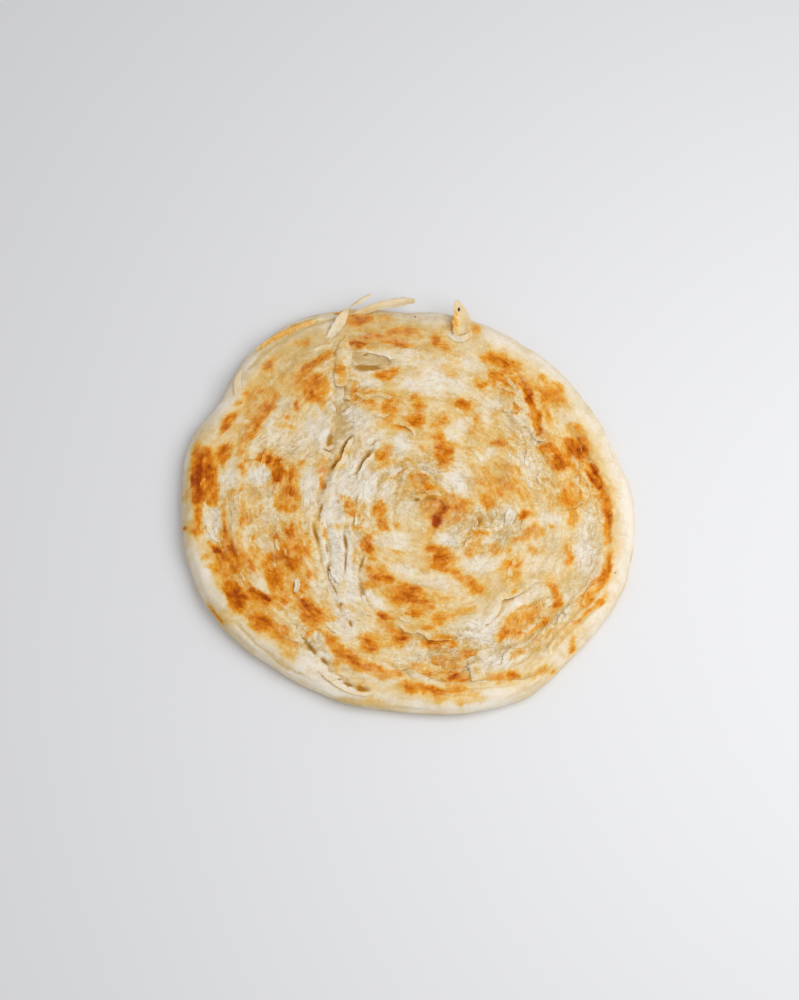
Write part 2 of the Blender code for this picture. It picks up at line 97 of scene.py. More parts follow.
# Each crease is its points, each with a half width, then its depth and the rise on its left.
CREASES = {
    "long_fissure": (
        ((-24.8, 48, 2.2), (-24.6, 43, 2.8), (-24, 36, 3.4), (-25.5, 27, 3.0),
         (-28, 19, 2.0), (-30.3, 11, 1.2), (-32, 4, 0.8)), 1.9, 0.25),
    "fissure_foot": (
        ((-31, 9, 0.8), (-33, 0, 0.9), (-34.6, -8, 1.0), (-33.3, -15, 0.9), (-31.5, -24, 0.8),
         (-28, -35, 0.8), (-24, -44, 0.7)), 0.6, 0.2),
    "second_gap": (
        ((-30.2, -6, 0.7), (-29.6, -13, 1.1), (-28.8, -19, 0.8), (-28.9, -25, 0.9),
         (-27, -33, 0.8)), 0.7, 0.0),
    "hairline_gap": (((-23.4, -9, 0.5), (-23, -17, 0.7), (-23.2, -27, 0.5)), 0.5, 0.0),
    "strand_left": (((-37, 4, 0.6), (-37.5, -8, 0.8), (-36, -22, 0.8), (-32, -36, 0.7)), 0.35, -0.1),
    "strand_right": (
        ((-18, 8, 0.6), (-19.5, -4, 0.8), (-19.6, -16, 0.8), (-20.5, -30, 0.7)), 0.4, 0.1),
    "branch_gap": (
        ((-20.5, 26.5, 0.9), (-23.5, 20.5, 1.6), (-27, 15.5, 1.3), (-29.5, 11.5, 0.8)),
        1.4, 0.0),
    "inner_branch": (
        ((-11, 25, 0.8), (-14.5, 20, 1.5), (-17.5, 14, 1.2), (-19, 11, 0.7)), 1.1, 0.0),
    "top_slot": (
        ((-21.5, 57, 1.2), (-17.5, 57, 2.6), (-12, 56.6, 2.8), (-5.5, 55.4, 1.4)), 1.5, 0.2),
    "slot_edge": (((-20, 54, 0.5), (-15.5, 54.4, 0.8), (-10.5, 54.2, 0.5)), 0.7, 0.0),
    "top_line": (
        ((-24, 66, 0.9), (-15, 64.5, 1.2), (-7, 62.8, 1.1), (1, 62.3, 1.0), (8, 63.5, 0.7)),
        1.1, 0.4),
    "tail_gap": (
        ((-62, -34, 0.7), (-55, -36.5, 0.9), (-50, -38.5, 0.8), (-45, -44, 0.9),
         (-40, -51.5, 1.0)), 0.6, 0.3),
    "tail_line": (((-40, -51, 0.6), (-34, -60, 0.8), (-27, -66.5, 0.6)), 0.4, 0.3),
    "first_cavity": (((-38.4, -53.6, 0.5), (-36.4, -56.2, 0.9), (-34.4, -58.4, 0.5)), 1.1, 0.0),
    "second_cavity": (((-32.6, -60.8, 0.4), (-31, -62, 0.8), (-29.4, -63, 0.4)), 1.0, 0.0),
    "tail_slot": (
        ((-26.5, -67, 0.5), (-24, -69.3, 0.8), (-19.8, -71.5, 1.0), (-14.5, -72.8, 0.6)),
        1.4, 0.0),
    "swirl_edge": (
        ((-16, -12, 0.7), (-17.3, -20, 0.9), (-18.3, -28, 1.0), (-17, -35, 1.0),
         (-12.5, -42, 1.0), (-6, -48.5, 1.1), (1, -52.5, 1.2), (8, -54, 1.2),
         (16, -54, 1.0), (21, -52.5, 0.7)), 0.6, -0.35),
    "right_groove": (
        ((58, 33, 0.8), (62, 27, 1.1), (66, 20, 1.3), (70.5, 11, 1.3), (73.5, 3, 1.3),
         (75, -8, 1.3), (75, -18, 1.3), (73.5, -28, 1.3), (69, -36, 1.2), (64, -42, 1.1),
         (59, -48, 0.8)), 0.7, -0.5),
    "right_inner_line": (
        ((42, 50, 0.8), (45, 43, 1.0), (47.5, 36, 1.1), (49, 28, 1.0), (51, 21, 0.7)),
        1.1, 0.3),
    "bottom_line": (
        ((-9, -61, 0.7), (-2, -65.5, 1.0), (6, -69, 1.1), (15, -71.3, 1.2),
         (26, -71.5, 1.2), (37, -70.5, 1.1), (46, -68, 0.9), (54, -63, 0.7)), 1.1, -0.5),
    "ragged_step": (
        ((20, -49, 0.6), (26, -49, 0.7), (31, -46, 0.8), (34.5, -41.5, 0.8),
         (37, -37.5, 0.8), (43, -35, 0.7), (49, -31, 0.6)), 0.4, 0.9),
    "corner_fold": (
        ((36, -57, 0.8), (44, -53, 1.0), (51, -47, 1.0), (56, -41, 0.8)), 0.8, 0.4),
    "corner_line": (
        ((38, -64, 0.8), (47, -59, 1.0), (55, -52, 1.0), (62, -44, 0.8)), 0.8, 0.3),
    "crescent_arc": (
        ((-47, 62, 0.8), (-55, 50, 0.9), (-60, 38, 0.9), (-63, 25, 0.9), (-66, 10, 0.9),
         (-66.5, -5, 0.9), (-65, -18, 1.0), (-60, -28, 0.8)), 0.3, 0.12),
    "left_scrape": (((-75, 3, 0.9), (-73, -3, 1.5), (-71.5, -9, 1.1)), 0.4, 0.0),
    "top_left_fold": (
        ((-60, 52, 0.8), (-52, 60, 0.9), (-42, 67, 1.0), (-32, 71.5, 0.9), (-24, 73, 0.8)),
        0.8, -0.4),
    "middle_fold": (
        ((3, 15, 0.8), (8, 12, 1.1), (12, 7, 1.3), (14, 1, 1.1), (11, -7, 1.4),
         (9, -13, 0.8)), 0.7, 0.2),
    "tent_fold": (((-1, 17, 0.8), (-3.5, 8, 1.0), (-4.5, -1, 0.8)), 0.5, 0.25),
    "tent_side": (((-8, 13, 0.8), (-12, 4, 1.1), (-13, -6, 0.9)), 0.6, -0.3),
    "small_crater": (((25, -4, 1.0), (28.5, -6.5, 2.4), (32, -6, 1.4)), 1.5, 0.0),
    "lower_rim": (
        ((-64, -46, 0.6), (-57, -54, 0.9), (-48, -61.5, 0.9), (-38, -68, 0.6)), 0.6, 0.4),
    "outer_rim": (((74, -38, 0.6), (68, -44, 0.9), (61, -50, 0.8), (55, -57, 0.6)), 0.6, 0.3),
}

# How far from a crease its rise tails off, and over which half length it steps up.
CREASE_REACH = 9.0
STEP_LENGTH = 0.7

# Ellipses of the top: x, y, half length, half width, turn in degrees, and how strongly each is
# meant. They say where loose flakes lie thickest, where the edges of the layers are torn, where
# long strands lie side by side, and where the dough is moist, thin and tan. On the left and upper
# parts of the bread that tan is partly painted shade.
FLAKY = (
    (-23, -12, 34, 9, 92, 0.45), (-12, 6, 18, 13, 60, 0.5), (-70, -2, 12, 7, 80, 0.6),
    (28, -10, 16, 9, 10, 0.7), (20, -58, 20, 9, 5, 0.8), (45, 24, 22, 8, 110, 0.6),
    (-22, 40, 22, 9, 95, 0.4), (-35, -58, 16, 7, 130, 0.6), (68, -10, 34, 6, 92, 0.5),
    (50, -50, 17, 10, 40, 0.6), (5, 8, 16, 12, 0, 0.7), (-48, 8, 26, 13, 85, 0.45),
)
TATTERED = (
    (-22, 32, 26, 12, 95, 1.0), (-50, -42, 20, 6, 130, 0.8), (-28, -65, 16, 6, 135, 0.6),
    (-73, -4, 9, 5, 85, 1.0), (28, -7, 9, 7, 0, 1.0), (38, -38, 20, 6, 32, 0.6),
    (4, -51, 16, 5, -10, 0.7), (6, 9, 14, 10, 0, 0.5), (45, 26, 14, 6, 110, 0.6),
    (62, 0, 8, 6, 0, 0.6), (20, -60, 14, 8, 0, 0.5), (-45, 10, 14, 16, 0, 0.5),
)
STRANDY = (
    (-26, -14, 28, 9, 97, 1.0), (-12, -2, 24, 6, 78, 0.6), (-64, -5, 24, 8, 95, 0.6),
    (66, -12, 42, 10, 94, 0.6), (52, -52, 22, 9, 40, 0.8), (-34, 66, 30, 7, 30, 0.6),
    (-2, 70, 24, 5, -3, 0.7), (5, -66, 40, 8, -3, 0.6), (-34, -58, 24, 7, 128, 0.7),
)
MOIST_AND_SHADED = (
    (-38, 62, 27, 8, 33, 0.9), (-50, 44, 16, 10, 60, 0.55), (-4, 70, 30, 9, -4, 0.9),
    (79, -12, 32, 5, 96, 0.16), (66, -48, 22, 5, 48, 0.12), (62, 47, 32, 5, 132, 0.2),
    (-84, -4, 22, 3.5, 90, 0.8), (-72, -42, 20, 4, 125, 0.7), (-76, 28, 10, 4, 62, 0.8),
    (-12.8, 56.4, 8.5, 3, -6, 1.0), (-25, 38, 10, 3, 92, 0.7), (6.6, 8.2, 6.4, 4, -48, 1.0),
    (-10, 62, 6, 1.2, -8, 0.9),
    (-1, 1, 8, 4, 80, 0.7), (30, 12, 8, 6, 0, 0.45), (14, -3, 10, 5.5, -10, 0.9),
    (-56, 4, 4.5, 3, 0, 0.9), (-18, -77.6, 13, 1.7, -6, 1.0), (-27, 30, 9, 3.4, 82, 0.55),
    (-24.6, 41, 6, 2.4, 88, 0.5),
    (35, 28, 12, 6, 20, 0.35), (45, -15, 14, 6, 0, 0.3), (-44, -58, 8, 6, 0, 0.45),
    (19, -62, 9, 6, 0, 0.6), (27, -65, 4, 6, 0, 0.5), (-15, 34, 6, 3, 0, 0.4),
    (54, -57, 8, 5, 45, 0.4), (61, -32, 6, 4, 60, 0.4), (-68, -8, 12, 3, 95, 0.5),
    (2, 27, 5, 2, 0, 0.4), (29, -6, 5, 3, 0, 0.9), (-34, 8, 12, 4, 80, 0.3),
)

# Ellipses of dough that stayed white.
WHITE = (
    (-72.5, -6.5, 8.5, 2.8, 82, 0.9), (-55.6, 10.5, 5, 3, 35, 0.85), (-65.5, 12, 6, 2.5, 85, 0.3),
    (-69, 29, 6, 3.5, 50, 0.4), (-62, 33, 2.5, 1.5, 0, 0.6), (-46, 39, 4, 2.5, 40, 0.6),
    (-52, 32, 3, 2, 30, 0.5), (-33, 30, 9, 4, 95, 0.8), (-36, 7, 7, 3.5, 95, 0.7),
    (-20.5, 9, 9, 5, 75, 0.8), (-17.5, 34.5, 6, 4.5, 80, 0.8), (-12, 25, 5, 2.5, 45, 0.6),
    (-13, 47.5, 5, 2, 0, 0.5), (3, 57, 16, 3, -3, 0.5), (8, 47, 9, 3, 0, 0.5), (20, 30, 8, 3, 35, 0.6),
    (31, 38, 5, 3, 30, 0.6), (22, 8, 3, 5, 0, 0.6), (42, 18, 4, 3, 0, 0.4), (25, 55, 5, 3, -40, 0.5),
    (-26, -18, 27, 5, 97, 1.0), (27.5, -25, 6, 3, 20, 0.7), (52, -14, 6, 4, 0, 0.4),
    (49, -23, 5, 3, 0, 0.4), (66, -18, 8, 3, 95, 0.4), (44, -37, 9, 2.5, 38, 0.6),
    (29, -52, 5, 3, 0, 0.7), (34.5, -62.5, 4.5, 3, 0, 0.6), (8, -30, 8, 2.5, -5, 0.5),
    (-2, -15, 3, 4, 0, 0.5), (1, -55.5, 3, 2, 0, 0.5), (6, -68.5, 7, 1.6, -20, 0.6),
    (9, -41, 3, 2, 0, 0.5), (15.5, -14.5, 4.5, 2.5, -20, 0.7), (-27.5, -69.5, 12, 2.4, -36, 1.0),
    (-24, -50, 8, 3, -40, 0.7), (-33, -53.5, 3, 2, -40, 0.6), (-12, -68, 9, 3, -15, 0.6),
    (-37, -62, 4, 2, -45, 0.5), (-74, -32, 12, 3, 118, 0.5), (-60, -13, 6, 2, 90, 0.4),
    (-56, -30, 6, 2, 125, 0.7), (-34, -33, 6, 2, 95, 0.5), (-12, -38, 6, 2, 130, 0.5),
    (-2.6, 23, 5, 3.5, 80, 0.9), (19.8, 8.3, 3, 4.5, 0, 0.9), (29, 35, 4, 4, 0, 0.7),
    (-14.5, 6.3, 5, 3, 60, 0.9), (-6.4, -14.3, 5, 3, 0, 0.7), (53, -6, 4.5, 2.5, 0, 0.7),
    (14, 48, 9, 3, -20, 0.7), (-1, -26, 5, 2, 0, 0.5), (36, -31, 3, 4, 40, 0.6),
    (24, -23, 5, 2.5, 20, 0.6), (-52, -16, 3, 5, 20, 0.5), (-58.5, 22, 2, 4, 30, 0.5),
    (31, 20, 5, 2, 30, 0.6), (45, 12, 3, 3, 0, 0.5), (30, -48, 5, 3, 30, 0.7),
)

# Gaps and pockets as ellipses, whose floors get a dark ochre colour as painted shade.
SHADED_GAPS = (
    (-16.6, 53.3, 3.0, 1.4, 0, 0.8), (-12.8, 53.1, 3.6, 0.7, 3, 0.8), (-14.8, 54.1, 4.8, 0.4, 4, 1.0),
    (-15.4, 58.6, 0.9, 0.4, 0, 1.0),
    (-32.2, -1.8, 2.0, 0.45, 76, 0.9), (-32.8, -5, 1.6, 0.3, 86, 0.6), (-34.1, -12, 3.9, 0.6, 106, 0.8),
    (-29.9, -17.7, 2.0, 0.35, 100, 0.8), (-29.1, -27.1, 3.4, 0.75, 98, 0.9),
    (-27.3, -33.2, 3.2, 0.35, 115, 0.7), (-23, -15.1, 2.8, 0.5, 100, 1.0), (-23, -22.6, 4.0, 0.3, 86, 0.9),
    (-24.8, -39.7, 0.9, 0.4, 80, 0.7), (-32.3, -22.4, 1.6, 0.25, 95, 0.6), (-25.8, 0.5, 0.7, 0.4, -45, 0.6),
    (-16.9, -23, 3.0, 0.5, 72, 0.6), (-16.7, -34.6, 3.2, 1.0, 105, 0.45), (-21.2, -47.2, 1.1, 0.5, 110, 0.8),
    (-37.5, -11.6, 0.8, 0.3, 20, 0.7), (-30, -33.6, 1.8, 0.25, 108, 0.4),
    (-22.5, 23.5, 4.0, 1.2, 58, 0.75), (-27, 15.8, 2.6, 0.9, 60, 0.7), (-15.5, 17.5, 4.6, 0.9, 62, 0.7),
    (3.7, 1.5, 0.9, 0.6, 0, 1.0), (8.6, 2.2, 2.6, 0.9, 20, 0.5),
    (-22.4, -70.4, 2.6, 0.4, -30, 0.9), (-17, -72.4, 2.6, 0.7, -14, 0.75), (-36, -56.6, 2.2, 0.6, -50, 0.7),
    (-31.2, -61.8, 1.6, 0.45, -45, 0.9), (-26.7, -67.4, 1.8, 0.2, -38, 0.7),
    (26.5, -6.8, 1.8, 1.5, 60, 0.5), (-28.9, 24.6, 3.6, 0.9, 80, 0.9), (-21, 25.2, 1.3, 0.9, 0, 0.5),
    (38, -37.3, 2.6, 0.6, 20, 0.45), (-38.8, -53, 1.6, 0.25, -52, 0.9),
)

# How soft the rims of those gaps are, as a share of their size, and how deep the gaps are.
GAP_SOFTNESS = 0.55
GAP_DEPTH = 0.5

# Browned patches: x, y, half length, half width, turn in degrees, and how dark it is.
BROWNED = (
    (-17.6, 72.7, 5, 2.5, 15, 0.72), (-9, 73, 3.4, 1.4, -10, 0.5), (-25, 75.8, 3.5, 0.8, 8, 0.6),
    (-2.6, 67.5, 4.6, 1.8, 5, 0.6), (-19, 62.9, 3.6, 1.2, -5, 0.78), (-39, 63.2, 3.5, 1.5, 10, 0.55),
    (-52, 54.2, 2.6, 1.8, 70, 0.75), (-55.8, 45.1, 1.9, 1.8, 0, 0.5), (-60.3, 43.4, 1.2, 0.8, 0, 0.65),
    (-63.7, 39.2, 1.3, 0.8, 0, 0.45), (-67.4, 31.7, 4.8, 1.8, 55, 0.72), (-52, 38, 3.4, 2.8, 30, 0.65),
    (-50.2, 41.5, 2.4, 1.1, 50, 0.5), (-59.2, 29.8, 1.6, 0.9, 0, 0.5), (-58.8, 33.3, 1, 0.5, 0, 0.6),
    (-46, 47.9, 1.7, 1, 30, 0.45), (-41.2, 38.4, 2.5, 1.2, 80, 0.6), (-44.9, 33.7, 1.3, 1, 0, 0.5),
    (-43.8, 30.5, 1.6, 1, 0, 0.55), (-47.2, 30.5, 2, 0.7, 0, 0.35), (-34.4, 45.1, 5.4, 5, 70, 0.66),
    (-31.2, 38.8, 2.6, 1.3, 95, 0.45), (-34.4, 34.9, 1.6, 1.4, 0, 0.3), (-20, 44.5, 3, 1.6, 80, 0.7),
    (-15.7, 39.2, 4.2, 3, -40, 0.7), (-13.9, 43.9, 2.6, 1.2, 0, 0.5), (-7.1, 51, 4.5, 2.2, 25, 0.65),
    (-6.4, 37.6, 4.6, 3, 85, 0.62), (-1.5, 29.8, 2.6, 1.1, 20, 0.55),
    (-78.2, 11.5, 11.5, 3.2, 93, 0.97), (-74, 12.5, 9.5, 2.8, 95, 0.82),
    (-77.9, 4.6, 4.5, 3, 80, 0.9), (-69.3, 19.5, 3.5, 2.8, 70, 0.68), (-66, 21.9, 1.5, 0.8, 10, 0.5),
    (-61, 13.2, 3.8, 1.4, 85, 0.6), (-64.8, 3.8, 3, 1.5, 40, 0.5), (-44.9, 2.2, 6, 4.6, 80, 0.72),
    (-42.7, 10.9, 3.2, 2, 80, 0.6), (-39, 16.4, 2.2, 1.2, 40, 0.45), (-47.9, 16.8, 1.3, 1, 0, 0.8),
    (-31.5, 14.8, 2.6, 1.5, 80, 0.5), (-21.7, 0.6, 3.2, 1.8, -35, 0.68), (-9, 18.7, 3.6, 1.8, 0, 0.66),
    (-6.8, 21.9, 2, 1.2, 30, 0.5), (-9, 14.8, 3.2, 1.6, 30, 0.45), (-5.6, 10.5, 2.6, 1, 35, 0.5),
    (-10.3, -2, 3.6, 2.3, 80, 0.66), (-9, -8.4, 2.6, 2, 80, 0.6), (-56, 6.5, 2.8, 0.5, 0, 0.6),
    (-55.4, 2.6, 1.5, 0.7, 0, 0.4), (-83, 3, 2.5, 1.2, 90, 0.5), (-24, 14.8, 1.6, 1.4, 0, 0.3),
    (-72.7, 1.8, 3, 2, 80, 0.75), (-77.9, -5.3, 4, 1.5, 85, 0.82), (-79, -10.8, 2, 1.8, 0, 0.62),
    (-74.5, -10, 1.6, 1, 0, 0.5), (-83.5, -8.8, 1.5, 0.5, -20, 0.85), (-60.7, -6.8, 3, 1.2, 85, 0.55),
    (-58, -13.5, 1.2, 1, 0, 0.4), (-75.3, -20.6, 1.3, 1, 0, 0.45), (-71.5, -25.3, 5, 1.4, -3, 0.55),
    (-64.4, -36, 7, 3.3, -58, 0.9), (-55.4, -36.4, 4.8, 2, -30, 0.6), (-63.7, -24.2, 4, 2.4, 95, 0.6),
    (-57.3, -25.3, 2, 1.2, 85, 0.5), (-49.4, -14.3, 2.6, 2, 0, 0.6), (-43, -10.8, 2.4, 1.6, 70, 0.75),
    (-51.7, -21.8, 3, 2.5, 30, 0.6), (-49.4, -29.7, 5.2, 3, 100, 0.78), (-43.4, -24.2, 4, 2.5, 75, 0.75),
    (-39, -19.4, 3.2, 3, 0, 0.5), (-44.9, -18.7, 5, 4, 20, 0.5), (-40, -33, 3.8, 3, 90, 0.64),
    (-36, -28.1, 1.9, 1.8, 0, 0.55), (-36, -42.3, 5.2, 3.4, -25, 0.72), (-30, -43.9, 2.2, 2, 0, 0.55),
    (-45.6, -38.7, 3, 1.5, 10, 0.5), (-54.7, -47, 4.5, 3.4, -40, 0.7), (-47.9, -50.1, 4, 3, 0, 0.52),
    (-44.2, -56.4, 4, 3.5, 90, 0.42), (-44.9, -61, 3, 2.5, 0, 0.22), (-67.4, -44.6, 3, 2, -45, 0.28),
    (-36.7, -51, 1.9, 1.2, 45, 0.55), (-27, -63.5, 2.4, 1.6, 90, 0.45), (-14.3, -54.5, 5.5, 3.4, 0, 0.7),
    (-5.3, -54.9, 3, 2, 0, 0.35), (-3, -51.7, 3.2, 1.5, -30, 0.8), (-9, -43.9, 3, 1.4, -25, 0.7),
    (-10.5, -28.9, 5, 3.4, -10, 0.64), (-13.5, -25.8, 2, 1.6, 0, 0.6), (-14.6, -32, 2, 1.6, 0, 0.5),
    (-0.4, -36, 7, 3.9, -5, 0.7), (6.7, -39.1, 3.6, 2, -35, 0.62), (2.6, -43, 3, 1.4, -5, 0.62),
    (-25.5, -9.2, 3.5, 2, 0, 0.6), (-18.8, -8.8, 2, 1, -10, 0.5), (-14.6, -15.9, 3.2, 2.2, 80, 0.66),
    (-3.4, -19.4, 2, 1.2, 0, 0.55), (-3.4, -8.4, 1.2, 1.2, 0, 0.5), (-30.3, -12.6, 3.3, 0.9, 104, 0.85),
    (-24.4, -33.6, 3, 1.5, 90, 0.35), (-19.9, -21, 2.4, 1.4, 90, 0.3), (-17.6, -72.2, 1.6, 0.9, -20, 0.8),
    (0, 67.2, 6, 1.8, 0, 0.52), (10.5, 64, 2, 1.5, 80, 0.72), (16.5, 54.2, 4, 3, 80, 0.28),
    (25.5, 69.1, 2.6, 2, 80, 0.42), (31.5, 57.3, 3.2, 2.1, -20, 0.65), (37.5, 55, 3.6, 2, -25, 0.66),
    (40.4, 51.8, 3, 2, 100, 0.5), (33.7, 49.8, 3.3, 2.6, 0, 0.66), (38.2, 44.7, 4, 3, 100, 0.58),
    (27.3, 47.1, 3.2, 1.5, -20, 0.56), (40.8, 37.6, 2.1, 1.6, 100, 0.72), (34.5, 36.9, 4, 1.5, 20, 0.3),
    (21, 38.8, 3.1, 1.8, -30, 0.7), (26.6, 33.3, 2.1, 1.5, 0, 0.52), (3, 42, 2.2, 1, -20, 0.72),
    (4.1, 38, 2.5, 2, 90, 0.5), (2.6, 32.9, 3.5, 2.6, -10, 0.56), (-3, 30.5, 2.6, 1, -20, 0.66),
    (13.9, 33.7, 1.4, 1, 0, 0.55), (11.2, 30.5, 2.6, 1.5, 20, 0.42), (13.9, 19.5, 6.2, 3.7, 100, 0.7),
    (11.6, 26.6, 2.2, 1.5, 90, 0.5), (5.6, 21.5, 1.2, 1.2, 0, 0.52), (34.5, 23.5, 2.5, 1.4, -20, 0.6),
    (40.4, 25.8, 2.2, 2, 0, 0.35), (30, 29, 6, 5, 0, 0.2), (50, 46.5, 3.6, 2.4, 100, 0.38),
    (55.8, 44.7, 3.2, 2.8, 30, 0.6), (51.3, 42.4, 2, 1.5, 90, 0.5), (57, 40.8, 2, 1.6, 0, 0.5),
    (53.2, 34.1, 2.5, 1.4, 100, 0.45), (53.2, 21.1, 4, 2.6, 0, 0.7), (56.2, 16.4, 4.2, 3.4, -35, 0.78),
    (63.7, 21.9, 4.8, 4.2, -50, 0.86), (62.2, 29.8, 3, 2, 0, 0.5), (60.3, 3.8, 5, 3.2, 20, 0.58),
    (50.9, 8.9, 1.5, 1, 0, 0.45), (30, 10.9, 5.5, 4.5, 0, 0.32), (39.7, 10.9, 4, 3, 90, 0.26),
    (6.8, 8, 6, 3.8, -48, 0.4), (8, 6.8, 2.8, 1.8, -50, 0.94),
    (9.6, 0.8, 3.6, 2.4, 0, 0.62), (12.7, -1.7, 3.4, 2.8, 90, 0.86),
    (15, -2, 10, 5, -5, 0.4), (-17, -77.8, 12, 1.4, -5, 0.32),
    (19.5, -0.9, 3.6, 2.4, 0, 0.7), (30, 0.3, 3.1, 1.8, 90, 0.62), (35.2, 4.6, 2, 1.3, 90, 0.45),
    (43.4, 3.8, 3, 2, 90, 0.3), (-1.5, 4.6, 5, 3, 90, 0.28), (74.1, -1, 3, 2, 90, 0.68),
    (12, -4.1, 4.6, 2.2, 80, 1.0), (10.5, -8.4, 2, 0.9, 80, 0.86), (28.5, -6.9, 3.4, 2.2, 0, 0.46),
    (43.4, -4.1, 2.7, 1.8, 40, 0.78), (27.7, -11.6, 3.5, 1.4, 0, 0.7), (24.4, -15.5, 5, 3.2, 80, 0.52),
    (34.5, -17.9, 3.8, 1.8, 0, 0.46), (13.5, -21, 4.2, 3.2, -30, 0.73), (9.7, -17.5, 2.6, 2, 0, 0.66),
    (13.1, -25, 4, 2, 0, 0.5), (26.2, -33.6, 2.2, 2.2, 0, 0.6), (47.2, -10.8, 3.2, 3, 0, 0.42),
    (47.2, -19, 2, 1.3, 90, 0.36), (51.7, -17.9, 1.5, 0.8, 90, 0.4), (53.5, -8.8, 1.3, 0.9, 0, 0.5),
    (39.3, -23.8, 3.3, 1.6, 0, 0.62), (38.2, -28.1, 4.5, 4.2, 90, 0.43), (40, -34.6, 1.7, 0.7, 10, 0.62),
    (60.3, -20.2, 4.6, 1.3, 92, 0.66), (62.5, -6.9, 4, 2.5, 80, 0.43), (61.4, 1, 4.5, 3.2, 10, 0.5),
    (43.4, -44.6, 8.5, 3.5, 33, 0.56), (37.5, -51.7, 5, 1.8, 5, 0.7), (41.2, -58.8, 2.7, 1.8, 20, 0.6),
    (55.4, -65.9, 1.2, 0.5, 20, 0.6), (39.3, -67.8, 2.1, 1.4, 0, 0.67), (32.2, -68.2, 3.6, 1.5, 0, 0.4),
    (11.6, -45.4, 2.5, 2.3, 0, 0.46), (7.9, -49, 2.5, 1.5, 0, 0.5), (14.2, -36.8, 4, 1.5, -10, 0.24),
    (-2.3, -51.7, 4, 1.7, -30, 0.8), (11.6, -54.5, 6.6, 2.2, 5, 0.84), (23.2, -58.4, 3, 1.8, 10, 0.72),
    (15.7, -62.7, 6.2, 4.5, 10, 0.5), (18.7, -67.8, 3.5, 2, 0, 0.86), (19.8, -72.2, 3, 2, 90, 0.5),
    (3.7, -63.9, 4.6, 1.2, -5, 0.42), (8.2, -67, 3.1, 1.2, -15, 0.56), (-4.1, -67.8, 1.6, 1.5, 0, 0.5),
    (1.5, -72.6, 3.1, 1.6, 0, 0.6), (20.2, -75.9, 9, 2.2, 0, 0.3), (-50, 47, 16, 9, 60, 0.12),
    (52, -56, 10, 5, 45, 0.14), (28, 28, 12, 9, 0, 0.12), (-64, -25, 12, 8, 100, 0.18),
    (58, 10, 16, 10, 110, 0.14), (-45, -20, 14, 10, 90, 0.12), (0, 62, 20, 5, -5, 0.12),
    (-24.4, 52.5, 2.4, 3.2, 0, 0.5), (-24.9, 46.8, 1.3, 3, 0, 0.45),
    (-58, 1, 4, 8, 0, 0.15), (36, 14, 14, 12, 0, 0.2),
    (-20.2, -4.1, 2.4, 1.3, 10, 0.6), (-29.6, 1, 3.5, 0.6, 90, 0.35), (-27.4, -5.5, 1.8, 1.2, 0, 0.3),
    (-31.5, -7.8, 1.2, 0.5, 0, 0.45), (-13.5, -21, 1.6, 1.0, 0, 0.45), (-23.2, -40.6, 3.2, 1.5, -15, 0.42),
    (-35.3, -47.4, 2, 1.4, 0, 0.4), (-28.8, -52.5, 3, 1.5, 0, 0.35), (-38.4, -13.8, 2.2, 2, 0, 0.42),
    (-34.3, -18, 1.6, 0.8, 0, 0.35), (-55, -3.6, 2, 0.8, 85, 0.5), (-53.2, -10.8, 1.4, 1, 0, 0.45),
    (-58.2, -17.3, 1.2, 0.4, -40, 0.4), (-60.9, -2, 1.6, 0.5, 85, 0.5), (-72.2, 1, 3, 1.0, -65, 0.9),
)

# Ellipses that the small flakes keep clear of: x, y, half length, half width and turn.
CLEAR = (
    (-15, 56.5, 9, 4.5, 0), (-24, 55, 13, 5, 90), (-24.5, 36, 9, 3.5, 80), (20, 70, 7, 6, 0),
    (-25, 72, 10, 4, 60), (5, 9, 8, 6, -30), (36, -50, 10, 5, 35),
)

# How far the browned places' outlines are shaken, over which lengths, how soft their rims are
# at least and at most, how much paler, and how strong and wide the golden halo beyond is.
BROWNED_SHAKE = ((1.3, 5.0), (0.45, 1.8))
RIM_SOFTNESS = (0.25, 0.8)
RIM_PALENESS = 0.25
HALO_SHARE = 0.42
HALO_REACH = 2.4

